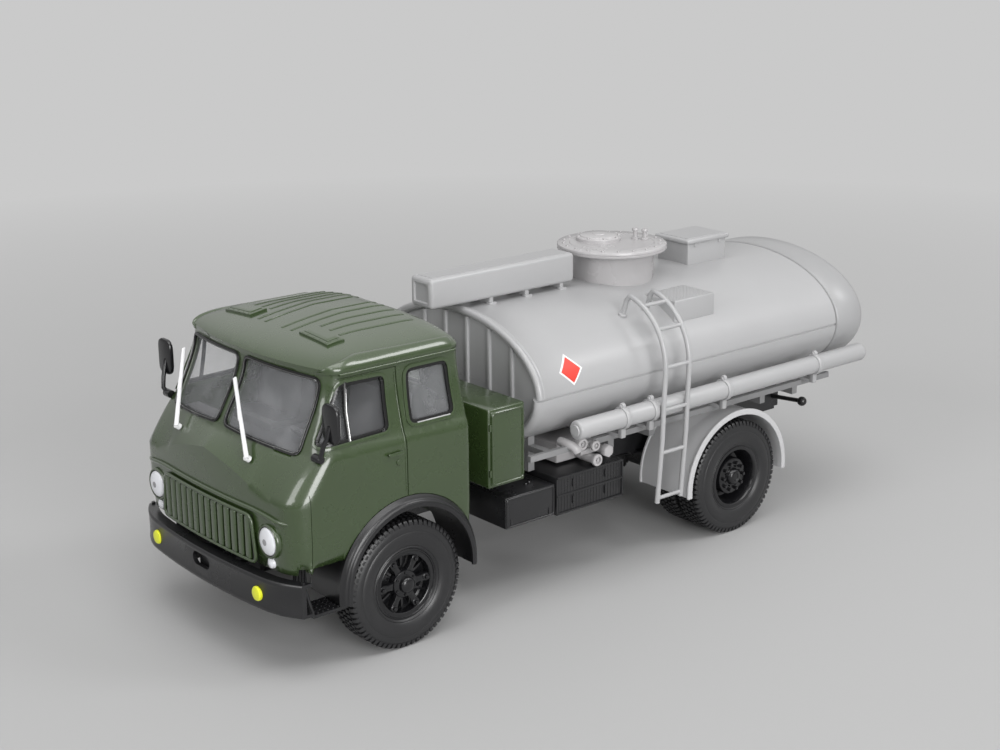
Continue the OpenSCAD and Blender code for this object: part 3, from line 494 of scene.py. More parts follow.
def cut_region(bm, outline, view, keep):
    """Cuts a convex outline into the faces that keep() accepts, seen along an axis, and returns the faces inside.

    view is 0, 1 or 2 for an outline drawn in (y, z), (x, z) or (x, y).
    """
    a, b = [(1, 2), (0, 2), (0, 1)][view]
    centre = sum((Vector(p) for p in outline), Vector((0, 0))) / len(outline)
    sides = []
    for i, start in enumerate(outline):
        start, end = Vector(start), Vector(outline[(i + 1) % len(outline)])
        out = Vector((end.y - start.y, start.x - end.x)).normalized()
        if (start - centre).dot(out) < 0:
            out = -out
        sides.append((start, out))

    def inside(face, count):
        p = face.calc_center_median()
        p = Vector((p[a], p[b]))
        return all((p - start).dot(out) < ON_CUT for start, out in sides[:count])

    for i, (start, out) in enumerate(sides):
        faces = [f for f in bm.faces if keep(f) and inside(f, i)]
        point, normal = Vector((0, 0, 0)), Vector((0, 0, 0))
        point[a], point[b] = start
        normal[a], normal[b] = out
        bmesh.ops.bisect_plane(bm, geom=with_rims(faces), plane_co=point, plane_no=normal, dist=ON_CUT)
    return [f for f in bm.faces if keep(f) and inside(f, len(sides))]


def push(bm, faces, offset):
    """Raises or sinks a region of faces as a step."""
    made = bmesh.ops.extrude_face_region(bm, geom=with_rims(faces))["geom"]
    bmesh.ops.translate(bm, verts=moved_verts(made), vec=offset)
    bm.normal_update()


def place_piece(bm, name, finish, slot=None, body=ROOT, replaces=(), sharp=35, outward=True):
    """Turns a bmesh in millimetres into a finished piece that rides on a body."""
    if outward:
        bmesh.ops.recalc_face_normals(bm, faces=bm.faces)
    bmesh.ops.scale(bm, vec=(MM, MM, MM), verts=bm.verts)
    for face in bm.faces:
        face.smooth = True
    for edge in bm.edges:
        edge.smooth = len(edge.link_faces) != 2 or edge.calc_face_angle() < math.radians(sharp)
    mesh = bpy.data.meshes.new(name)
    bm.to_mesh(mesh)
    bm.free()
    piece = bpy.data.objects.new(name, mesh)
    bpy.context.scene.collection.objects.link(piece)
    mesh.materials.append(finish_of(finish))
    slot or finish
    if replaces:
        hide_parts(*replaces)
    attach(piece, body)
    return piece


def thicken(piece, thickness, offset=-1):
    """Gives a skin a wall in millimetres."""
    wall = piece.modifiers.new("wall", "SOLIDIFY")
    wall.thickness = thickness * MM
    wall.offset = offset


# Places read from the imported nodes

NOSE = node_box("bumper")[1].x
CAB_REAR = node_box("cab_shell")[0].x
CAB_FRONT = node_box("cab_shell")[1].x
CAB_W = node_box("cab_shell")[1].y
CAB_FOOT = node_box("cab_shell")[0].z
TANK_FRONT = node_box("tank_shell")[1].x
TANK_JOINT = node_box("tank_shell")[0].x
TANK_REAR = node_box("tank_rear_section")[0].x
FRONT_X, _, AXLE_Z = sum(node_box("front_axle_pin"), Vector()) / 2  # the axles
REAR_X = (sum(node_box("rear_axle_pin"), Vector()) / 2).x
TYRE_OUT = node_box("front_tyres")[1].y
TYRE_R = node_box("front_tyres")[1].z - AXLE_Z
GUARD_X, GUARD_Z, GUARD_R = FRONT_X - 0.9, AXLE_Z + 1.3, 16.0  # the arch of the front mudguard


# Cab

SILL_Z, EAVES_Z, ROOF_Z = 41.2, 54.6, 60.5
LIP_Z = 31.0  # over the lip that crosses the front above the grille
WALL, GLASS, GLASS_SUNK = 1.2, 0.5, 0.45  # thickness of the body and of the glass, and how deep the glass lies
# height, front, bow of the front, half width, rear, front corner radius, rear corner radius
CAB_ROWS = [
    (CAB_FOOT, CAB_FRONT - 0.5, 1.8, CAB_W - 0.4, CAB_REAR, 5, 1.5),
    (25, CAB_FRONT, 1.8, CAB_W, CAB_REAR, 5, 1.5),
    (35.5, CAB_FRONT, 3.6, CAB_W, CAB_REAR, 5, 1.5),
    (SILL_Z - 0.8, CAB_FRONT - 3.1, 5.1, CAB_W - 0.12, CAB_REAR, 4.2, 1.5),
    (SILL_Z, CAB_FRONT - 3.4, 5.2, CAB_W - 0.4, CAB_REAR, 4, 1.5),
    (SILL_Z + 0.7, CAB_FRONT - 3.7, 5.1, CAB_W - 0.85, CAB_REAR, 3.9, 1.5),
    (EAVES_Z, CAB_FRONT - 9.2, 3.4, 0.885 * CAB_W, CAB_REAR + 0.2, 3, 2),
    (EAVES_Z + 1, CAB_FRONT - 8.9, 3.6, 0.9 * CAB_W, CAB_REAR, 4, 2.4),
    (EAVES_Z + 2.1, CAB_FRONT - 9.9, 3.8, 0.863 * CAB_W, CAB_REAR + 0.3, 4.5, 3),
    (EAVES_Z + 3.5, CAB_FRONT - 12.8, 4, 0.726 * CAB_W, CAB_REAR + 1, 5, 4),
    (ROOF_Z - 1, CAB_FRONT - 19.2, 4.5, 0.481 * CAB_W, CAB_REAR + 2.6, 6, 5),
    (ROOF_Z, CAB_FRONT - 26.5, 1.5, 0.185 * CAB_W, CAB_REAR + 5.5, 2, 2),
]
cab_front, cab_bow, cab_half, cab_rear, front_corner, rear_corner = (curve_through(CAB_ROWS, k) for k in range(1, 7))
# The crease over the grille falls from the middle to the corners: distance from the middle, height
crease_z = curve_through([(0, 38.5), (8, 36.9), (12.7, 35.5), (16, 33.9), (20, 33.0), (CAB_W, 33.0)])


def front_x(y, z):
    """Where the cab's front is, under and over the crease."""
    s = abs(y)
    nose = CAB_FRONT - 1.8 * (s / CAB_W)**2 - 0.5 * between((25 - z) / (25 - CAB_FOOT), 0, 1)
    crease = crease_z(s)
    if z <= crease:
        return nose
    if z < SILL_Z:
        foot = cab_front(SILL_Z) - cab_bow(SILL_Z) * (s / cab_half(SILL_Z))**2
        t = (z - crease) / (SILL_Z - crease)
        return nose + (foot - nose) * (0.82 * t + 0.18 * t * t)
    return cab_front(z) - cab_bow(z) * (s / cab_half(z))**2


# Rows of faces in each band of the body, from its foot to the roof, and the level of every row of vertices
CAB_BANDS = [4, 3, 7, 14, 20]
CAB_LEVELS = [(k, i / n) for k, n in enumerate(CAB_BANDS) for i in range(n)]
CAB_LEVELS += [(len(CAB_BANDS), 0.0), (len(CAB_BANDS), 1.0)]
# Shares of the way round at which the front, its corner, the side and the rear corner end
FRONT_END, CORNER_END, SIDE_END, REAR_CORNER_END = 0.34, 0.46, 0.82, 0.9


def level_z(level, y):
    band, t = level
    marks = [CAB_FOOT, LIP_Z, crease_z(abs(y)), SILL_Z, EAVES_Z, ROOF_Z, ROOF_Z + 0.04]
    if band == len(CAB_BANDS) - 1:
        t = 1 - (1 - t)**2
    return marks[band] + (marks[band + 1] - marks[band]) * t


def cab_point(u, v):
    """A point of the left half: u goes from the middle of the front round to the middle of the rear."""
    level = CAB_LEVELS[round(v * (len(CAB_LEVELS) - 1))]
    z = level_z(level, CAB_W)
    w, rf, rr, xr = cab_half(z), front_corner(z), rear_corner(z), cab_rear(z)
    a0 = math.atan(front_x(w - rf - 0.5, z) - front_x(w - rf + 0.5, z))
    edge = w - rf * (1 - math.sin(a0))
    start = front_x(edge, z)
    if u <= FRONT_END:
        y = edge * u / FRONT_END
        z = level_z(level, y)
        x = front_x(y, z)
    elif u <= CORNER_END:
        a = a0 + (math.pi / 2 - a0) * (u - FRONT_END) / (CORNER_END - FRONT_END)
        x, y = start - rf * (math.cos(a0) - math.cos(a)), edge + rf * (math.sin(a) - math.sin(a0))
    elif u <= SIDE_END:
        t = (u - CORNER_END) / (SIDE_END - CORNER_END)
        x, y = (start - rf * math.cos(a0)) * (1 - t) + (xr + rr) * t, w
    elif u <= REAR_CORNER_END:
        a = math.pi / 2 * (1 + (u - SIDE_END) / (REAR_CORNER_END - SIDE_END))
        x, y = xr + rr + rr * math.cos(a), w - rr + rr * math.sin(a)
    else:
        x, y = xr, (w - rr) * (1 - (u - REAR_CORNER_END) / (1 - REAR_CORNER_END))
    if level == (len(CAB_BANDS), 1.0):  # the last row closes the roof along its middle
        return Vector((between(x, xr + rr, start - rf), 0, z))
    return Vector((x, y, z))


# Openings: corners, corner radius, view (0: from the front or back in y and z, 1: from the side in x and z)
FRONT_PANE = ([(1.1, 42.3), (21.6, 40.8), (21.5, 53.9), (1.1, 54.5)], 1.5, 0)
BACK_PANE = ([(-9, 45), (12.6, 45), (12.2, 53.2), (-9, 53.2)], 1.2, 0)
DOOR_PANE = ([(CAB_FRONT - 8.1, 42.5), (CAB_FRONT - 23.6, 42.9), (CAB_FRONT - 24, 53.1), (CAB_FRONT - 14, 53.3)],
             1.5, 1)
SIDE_PANE = ([(CAB_FRONT - 28, 43), (CAB_FRONT - 28.6, 53.3), (CAB_FRONT - 38.4, 53.3), (CAB_FRONT - 38.6, 43)],
             1.7, 1)


# Shut lines of the door: x from and to, z from and to
DOOR_GROOVES = [(53.5, 53.72, 30.1, 54.1), (74.8, 74.9, 21.2, 35.0), (53.75, 66.6, 53.95, 54.12)]


def facing_front(f): return f.normal.x > 0.5 and f.calc_center_median().x > CAB_FRONT - 20
def facing_back(f): return f.normal.x < -0.8
def facing_side(f): return f.calc_center_median().y > CAB_W - 8 and abs(f.normal.z) < 0.6


def cab_skin():
    """The left half with its openings, grooves, ribs and hatches; the panes' faces have material index 1."""
    bm = bmesh.new()
    add_sheet(bm, 100, len(CAB_LEVELS) - 1, cab_point)
    bmesh.ops.remove_doubles(bm, verts=bm.verts, dist=MERGE)
    bmesh.ops.recalc_face_normals(bm, faces=bm.faces)
    if sum(f.normal.x * (f.calc_center_median().x - 60) for f in bm.faces) < 0:
        bmesh.ops.reverse_faces(bm, faces=bm.faces)
    arch = arc((GUARD_X, GUARD_Z), GUARD_R + 0.1, range(0, 360, 5))
    for gap in (arch, rectangle(GUARD_X + 12, CAB_FRONT - 3.2, CAB_FOOT - 1, CAB_FOOT + 1.2)):
        remove_faces(bm, cut_region(bm, gap, 1, facing_side))
    for corners, radius, view in (FRONT_PANE, BACK_PANE, DOOR_PANE, SIDE_PANE):
        keep = facing_side if view else (facing_back if corners is BACK_PANE[0] else facing_front)
        for face in cut_region(bm, fillet(corners, radius), view, keep):
            face.material_index = 1
    for groove in DOOR_GROOVES:
        push(bm, cut_region(bm, rectangle(*groove), 1, facing_side), (0, -0.25, 0))
    mirror_left(bm)
    return bm


def on_roof(body, x, y):
    return body.ray_cast(Vector((x, y, 90)), Vector((0, 0, -1)))[0]


def on_side(body, x, z):
    """The point of the left side at a place, and the way it faces."""
    return body.ray_cast(Vector((x, 60, z)), Vector((0, -1, 0)))[:2]


def add_plate(bm, roof, x, y, lift, cells):
    """A raised plate over the span x and y that follows the roof; its outer ring of vertices is sunk in it."""
    def marks(low, high, count):
        inner = [low + 0.14 + (high - low - 0.28) * k / count for k in range(count + 1)]
        return [low, low] + inner + [high, high]
    xs, ys = marks(*x, cells[0]), marks(*y, cells[1])

    def place(u, v):
        i, j = round(u * (len(xs) - 1)), round(v * (len(ys) - 1))
        rim = min(i, j, len(xs) - 1 - i, len(ys) - 1 - j)
        return on_roof(roof, xs[i], ys[j]) + Vector((0, 0, (-0.4, lift - 0.1)[rim] if rim < 2 else lift))
    add_sheet(bm, len(xs) - 1, len(ys) - 1, place)


# Distance of each rib from the middle, and of its start behind the front
ROOF_RIBS = [(2.9, 16.2), (5.6, 16.4), (8.6, 21.0), (11.6, 21.0), (14.6, 21.0)]


def window_trim(panes, name, finish, slot, outer, inner, lift, thickness, wanted):
    """A rim round each wanted pane: outer beyond its edge, inner over the glass, lifted from it."""
    bm = panes.copy()
    bm.normal_update()
    remove_faces(bm, [f for f in bm.faces if not wanted(f.calc_center_median())])
    bm.normal_update()
    border = [e for e in bm.edges if len(e.link_faces) == 1]
    shifts = {}
    for vert in {v for e in border for v in e.verts}:
        ring = [e.other_vert(vert) for e in vert.link_edges if len(e.link_faces) == 1]
        along = (ring[0].co - ring[1].co).normalized()
        inward = vert.normal.cross(along).normalized()
        face_middle = sum((f.calc_center_median() for f in vert.link_faces), Vector()) / len(vert.link_faces)
        if inward.dot(face_middle - vert.co) < 0:
            inward = -inward
        shifts[vert] = (inward, vert.normal.copy())
    old_faces = bm.faces[:]
    made = bmesh.ops.extrude_edge_only(bm, edges=border)["geom"]
    for vert in moved_verts(made):
        source = next(e.other_vert(vert) for e in vert.link_edges if e.other_vert(vert) in shifts)
        inward, normal = shifts[source]
        vert.co = source.co + inward * inner + normal * lift
    for vert, (inward, normal) in shifts.items():
        vert.co += normal * lift - inward * outer
    remove_faces(bm, old_faces)
    bm.normal_update()
    piece = place_piece(bm, name, finish, slot, outward=False)
    thicken(piece, thickness, 0)
    bevel = piece.modifiers.new("edge", "BEVEL")
    bevel.width = 0.1 * MM
    bevel.segments = 2
    bevel.limit_method = "ANGLE"


class TRUCK_OT_cab(bpy.types.Operator):
    """Models the cab body, its glass, gaskets, drip rails, lip and handles"""
    bl_idname = "truck.cab"
    bl_label = "Cab"

    def execute(self, context):
        body = cab_skin()
        roof = BVHTree.FromBMesh(body)
        panes = body.copy()
        remove_faces(panes, [f for f in panes.faces if f.material_index == 0])
        remove_faces(body, [f for f in body.faces if f.material_index == 1])
        for face in panes.faces:
            face.material_index = 0
        thicken(place_piece(body, "cab_body", "cab_paint", replaces=["cab_shell"], sharp=32, outward=False), WALL)

        def front(p): return p.x > CAB_FRONT - 12 and abs(p.y) < 22.5
        def side(p): return p.x < CAB_FRONT - 7 and abs(p.y) > 22.8
        def back(p): return p.x < CAB_REAR + 2
        for row in (  # name, finish, slot, reach beyond the glass and over it, lift, thickness, panes
                ("windscreen_gaskets", "gasket", "black_plastic", 0.3, 0.35, 0.08, 0.4, front),
                ("windscreen_beads", "trim_metal", "etched_metal", -0.08, 0.2, 0.3, 0.2, front),
                ("side_frames", "cab_paint", "cab_paint", 0.55, 0.12, 0.1, 0.3, side),
                ("side_gaskets", "gasket", "black_plastic", 0.0, 0.75, -0.1, 0.4, side),
                ("back_gasket", "gasket", "black_plastic", 0.5, 0.5, 0.05, 0.4, back)):
            window_trim(panes, *row)
        panes.normal_update()
        for vert in panes.verts:
            vert.co -= vert.normal * GLASS_SUNK
        thicken(place_piece(panes, "cab_glass", "glazing", replaces=["cab_glazing"], outward=False), GLASS)
        self.add_roof_trim(roof)
        self.add_dividers()
        self.add_brow(roof)
        self.add_trim(roof)
        self.add_handles(roof)
        return {"FINISHED"}

    def add_roof_trim(self, roof):
        """The ribs along the roof and the two hatches."""
        bm = bmesh.new()
        for y, start in ROOF_RIBS:
            add_plate(bm, roof, (CAB_REAR + 4.1, CAB_FRONT - start), (y - 0.32, y + 0.32), 0.16, (14, 1))
        add_plate(bm, roof, (CAB_FRONT - 20.2, CAB_FRONT - 16.4), (8.4, 17.4), 0.5, (4, 8))
        add_plate(bm, roof, (CAB_FRONT - 19.6, CAB_FRONT - 17.0), (9.2, 16.6), 0.68, (3, 7))
        mirror_left(bm)
        place_piece(bm, "roof_trim", "cab_paint", outward=False)

    def add_dividers(self):
        """The bars of the quarter-lights, and the bright beads at them and under the rear windows."""
        bm = bmesh.new()
        add_tube(bm, [(65.4, cab_half(42.9) - 0.15, 42.8), (65.2, cab_half(48) - 0.2, 48),
                      (64.8, cab_half(53.1) - 0.1, 53.2)], 0.4, 10)
        mirror_left(bm)
        place_piece(bm, "quarter_light_bars", "gasket", "black_plastic")
        bm = bmesh.new()
        add_tube(bm, [(x - 0.15, cab_half(z) + 0.15, z) for x, z in ((65.5, 42.9), (65.3, 48), (64.9, 53))], 0.13, 8)
        add_tube(bm, [(CAB_FRONT - x, cab_half(43.2) + 0.2, 43.2) for x in (29.8, 34, 37.4)], 0.13, 8)
        mirror_left(bm)
        place_piece(bm, "window_beads", "etched_metal")

    def add_brow(self, body):
        """The raised band over the side windows, from a rounded start at the front corner to the rear."""
        bm = bmesh.new()
        start, end, low = CAB_FRONT - 11.6, CAB_REAR + 1.2, EAVES_Z + 0.1
        across, along = 60, 16

        def place(u, v):
            x = start + (end - start) * u**1.5
            reach = between((start - x) / 7, 0, 1)
            hit, normal = on_side(body, x, low + (0.4 + 2.6 * math.sqrt(reach) * (1 - 0.2 * u)) * v)
            rim = min(u * across, v * along, (1 - u) * across, (1 - v) * along)
            return hit + normal * (-0.3 if rim < 0.5 else 0.1 + 0.3 * (2 * v - 1)**2 + 0.3 * v)
        add_sheet(bm, across, along, place)
        for _ in range(5):
            bmesh.ops.smooth_vert(bm, verts=[v for v in bm.verts if not v.is_boundary], factor=0.5,
                                  use_axis_x=True, use_axis_y=True, use_axis_z=True)
        face_left(bm)
        mirror_left(bm)
        place_piece(bm, "cab_brow", "cab_paint", outward=False)

    def add_trim(self, body):
        """The door's rear edge, the drip edge under the brow and the lip over the grille."""
        bm = bmesh.new()
        for path, radius, sunk in (([(53.95, z) for z in range(31, 55, 2)], 0.14, 0),
                                   ([(x, EAVES_Z + 0.15) for x in range(40, 67, 2)], 0.26, -0.25)):
            add_tube(bm, [on_side(body, x, z)[0] - Vector((0, sunk, 0)) for x, z in path], radius, 24)
        lip = [(front_x(y, 30) + 0.2, y, 30.6 - 1.1 * between((y - 15.5) / 9, 0, 1)**1.5)
               for y in (0, 4, 8, 12, 15.5, 18, 20, 22)]
        lip += [(CAB_FRONT - 1.65, 23.6, 29.75), (CAB_FRONT - 2.7, 24.9, 29.6)]
        add_tube(bm, lip, 0.42, 12)
        mirror_left(bm)
        place_piece(bm, "cab_mouldings", "cab_paint")

    def add_handles(self, roof):
        """The door handles with their locks, and the rivets of the roof hatches."""
        bm = bmesh.new()
        add_block(bm, (54.7, CAB_W + 0.35, 38.45), (58.2, CAB_W + 0.75, 39.1), 0.18)
        add_rod(bm, (57.7, CAB_W - 0.3, 38.78), (57.7, CAB_W + 0.5, 38.78), 0.35, segments=16)
        add_turned(bm, [(0, 0.25), (0.5, 0.25), (0.62, 0.1), (0.62, -0.2)], (55.5, CAB_W, 36.9), LEFT, 20)
        mirror_left(bm)
        place_piece(bm, "door_handles", "cab_paint")
        bm = bmesh.new()
        rivets = [(CAB_FRONT - 16.7, y) for y in (9.2, 11, 12.9, 14.8, 16.6)]
        rivets += [(CAB_FRONT - x, 17.0) for x in (17.6, 19.0)]
        for x, y in rivets:
            add_turned(bm, [(0.2, 0.3), (0.2, 0.5), (0.12, 0.6), (0, 0.62)], on_roof(roof, x, y), UP, 10)
        mirror_left(bm)
        place_piece(bm, "hatch_rivets", "cab_paint")


# Tank

TANK_Z = sum(node_box("tank_shell"), Vector()).z / 2
RIM_H = 0.5  # how far the front rim stands out of the skin
HEAD_STEP = 0.25  # how far the rear section does
TANK_A = node_box("tank_rear_section")[1].y - HEAD_STEP
TANK_B = node_box("tank_rear_section")[1].z - TANK_Z - HEAD_STEP
# A narrow groove runs along each side: its depth, and half the width of its floor and of its mouth as turns
GROOVE, FLOOR_TURN, MOUTH_TURN = 0.3, 0.012, 0.02

# Turns round the oval at which its skin has a column of vertices
TANK_TURNS = [math.pi * k / 72 for k in range(145)]
TANK_TURNS += [math.pi * k + turn for k in range(3) for turn in (-MOUTH_TURN, -FLOOR_TURN, FLOOR_TURN, MOUTH_TURN)
               if 0 < math.pi * k + turn < math.tau]
TANK_TURNS.sort()


def tank_point(x, turn, inset=0.0):
    """A point of the tank's oval, with turn in radians from the left side upwards."""
    return Vector((x, (TANK_A - inset) * math.cos(turn), TANK_Z + (TANK_B - inset) * math.sin(turn)))


def tank_side(y, out=0.0, top=True):
    """Height of the tank's skin at a distance from the middle."""
    rise = (TANK_B + out) * math.sqrt(max(0, 1 - (y / (TANK_A + out))**2))
    return TANK_Z + (rise if top else -rise)


def add_tank_skin(bm, rows, grooved=False):
    """Sweeps (place, inset, inset under the groove) rows round the oval."""
    columns = len(TANK_TURNS) - 1

    def place(u, v):
        turn = TANK_TURNS[round(u * columns)]
        row = rows[round(v * (len(rows) - 1))]
        inset = row[-1] if turn > math.pi else row[1]
        if grooved and abs(math.remainder(turn, math.pi)) < FLOOR_TURN + ON_CUT:
            inset = max(row[1], row[-1]) + GROOVE
        return tank_point(row[0], turn, inset)
    add_sheet(bm, columns, len(rows) - 1, place)
    bmesh.ops.remove_doubles(bm, verts=bm.verts, dist=MERGE)


class TRUCK_OT_tank(bpy.types.Operator):
    """Models the tank shell, its front bulkhead, its rear head and the blank diamond sign"""
    bl_idname = "truck.tank"
    bl_label = "Tank"

    def execute(self, context):
        self.add_shell()
        self.add_bulkhead()
        self.add_head()
        self.add_sign()
        return {"FINISHED"}

    def add_shell(self):
        bm = bmesh.new()
        f, j, rim_w = TANK_FRONT, TANK_JOINT, 2.2
        rim = [(f - 1.4, 1.2, 1.9), (f - 0.5, 1.1, 1.8), (f - 0.15, 0.9, 1.5), (f, 0.5, 1.1), (f, 0.1, 0.9),
               (f - 0.12, -0.2, 0.65), (f - 0.35, -0.4, 0.4), (f - 0.65, -RIM_H, 0.2), (f - 0.95, -0.45, 0.1),
               (f - 1.2, -0.28, 0.04), (f - 1.4, -0.12, 0.0), (f - 1.7, -0.2, 0), (f - 2.0, -0.12, 0),
               (f - rim_w, 0, 0)]
        straight = [(f - rim_w - (f - rim_w - j - 0.35) * t / 12, 0) for t in range(1, 13)]
        add_tank_skin(bm, rim + straight + [(j + 0.3, 0.08), (j + 0.24, 0.6), (j - 0.1, 0.6)], True)
        place_piece(bm, "tank_skin", "tank_paint", replaces=["tank_shell"], sharp=50)

    def add_bulkhead(self):
        bm = bmesh.new()
        f = TANK_FRONT
        add_tank_skin(bm, [(f - 1.3, 1.15), (f - 1.25, 1.4), (f - 1.05, 1.9), (f - 1.0, 2.6), (f - 1.0, 7),
                           (f - 1.0, TANK_B - 0.02)])
        ribs, pitch = 6, 7
        for y in (pitch * (k - (ribs - 1) / 2) for k in range(ribs)):
            half = tank_side(y, -1.3) - TANK_Z
            add_block(bm, (f - 1.4, y - 0.45, TANK_Z - half), (f - 0.45, y + 0.45, TANK_Z + half), 0.25)
        place_piece(bm, "tank_bulkhead", "tank_paint", sharp=40)

    def add_head(self):
        bm = bmesh.new()
        head = TANK_REAR + 6.3
        inset = curve_through([(0, -HEAD_STEP), (1, 0.1), (2, 0.9), (3.4, 2.6), (4.6, 5.0), (5.6, 7.6), (6.1, 10.2),
                               (6.3, 14.0)])
        rows = [(TANK_JOINT, 0.7), (TANK_JOINT - 0.05, 0), (TANK_JOINT - 0.3, -HEAD_STEP), (head, -HEAD_STEP)]
        rows += [(head - d / 4, inset(d / 4)) for d in range(1, 25)]
        rows += [(TANK_REAR + 0.1, 12), (TANK_REAR, TANK_B - 0.02)]
        add_tank_skin(bm, rows)
        place_piece(bm, "tank_head", "tank_rear_paint", "tank_paint", replaces=["tank_rear_section"], sharp=50)

    def add_sign(self):
        centre_x, centre_z = TANK_FRONT - 9.6, 45.4
        for name, finish, half, out in (("sign_border", "sign_white", 3.05, 0.05),
                                        ("sign_face", "sign_red", 2.5, 0.1)):
            bm = bmesh.new()

            def place(u, v):
                side, up = (u - v) * half, (u + v - 1) * half
                turn = math.asin((centre_z + up * 0.93 - TANK_Z) / TANK_B)
                return tank_point(centre_x + side, turn, -out)
            add_sheet(bm, 12, 12, place)
            face_left(bm)
            mirror_left(bm)
            place_piece(bm, name, finish, "tank_paint", outward=False)


FLANGE_Z = node_box("manhole_drum")[1].z
MANHOLE_X = (sum(node_box("manhole_drum"), Vector()) / 2).x


class TRUCK_OT_manhole(bpy.types.Operator):
    """Models the manhole drum with its bolted flange, the lid and the vents"""
    bl_idname = "truck.manhole"
    bl_label = "Manhole"
    bolts: bpy.props.IntProperty(name="Bolts", description="Bolts round the flange", default=20, min=6, max=40)

    def execute(self, context):
        top, x = FLANGE_Z, MANHOLE_X
        drum_r, flange_r = 9.1, 11.9
        bm = bmesh.new()
        add_turned(bm, [
            (drum_r, tank_side(drum_r) - 1.2), (drum_r, top - 1.9), (drum_r + 0.25, top - 1.5),
            (drum_r + 0.5, top - 1.3), (flange_r - 0.15, top - 1.3), (flange_r, top - 1.15), (flange_r, top - 0.78),
            (flange_r - 0.12, top - 0.68), (flange_r, top - 0.58), (flange_r, top - 0.15), (flange_r - 0.15, top),
            (flange_r - 2.6, top), (flange_r - 2.7, top - 0.12), (flange_r - 2.8, top), (0, top)], (x, 0, 0), UP, 96)
        place_piece(bm, "manhole_neck", "neck_paint", "tank_paint", replaces=["manhole_drum"], sharp=50)
        bm = bmesh.new()
        ring = arc((x, 0), flange_r - 1.3, turns(self.bolts))
        for level, way in ((top - 0.05, 1), (top - 1.25, -1)):
            add_nuts(bm, [(*spot, level) for spot in ring], (0, 0, way), 0.34, 0.3)
        place_piece(bm, "flange_bolts", "neck_paint", "tank_paint")
        bm = bmesh.new()
        lid_x, lid_y = x + 0.4, -3.8
        add_turned(bm, [(4.9, -0.1), (4.9, 0.65), (4.75, 0.8), (4.3, 0.82), (4.15, 0.95), (4.1, 1.1), (3.9, 1.2),
                        (1.4, 1.25), (1.3, 1.4), (0, 1.45)], (lid_x, lid_y, top), UP, 64)
        add_nuts(bm, [(*spot, top + 0.6) for spot in arc((lid_x, lid_y), 4.5, turns(8, 2.4 / math.tau))], UP, 0.32, 0.5)
        add_block(bm, (lid_x - 5.5, lid_y - 0.5, top - 0.05), (lid_x - 4.6, lid_y + 0.5, top + 0.8), 0.12)
        for vent_x, vent_y in ((-6.2, 0.9), (-7, 3)):
            add_turned(bm, [(0.85, -0.1), (0.85, 0.3), (0.5, 0.45), (0.48, 1.7), (0.7, 1.8), (0.74, 2.15), (0.6, 2.4),
                            (0, 2.42)], (x + vent_x, vent_y, top), UP, 28)
        place_piece(bm, "manhole_cover", "neck_paint", "tank_paint", replaces=["manhole_lid"], sharp=40)
        return {"FINISHED"}


# Wheels

def wheel_ring(x, y, radius, count, shift=0.0):
    """Evenly spaced places on a wheel's side."""
    return [(x + along, y, AXLE_Z - down) for along, down in arc((0, 0), radius, turns(count, shift))]


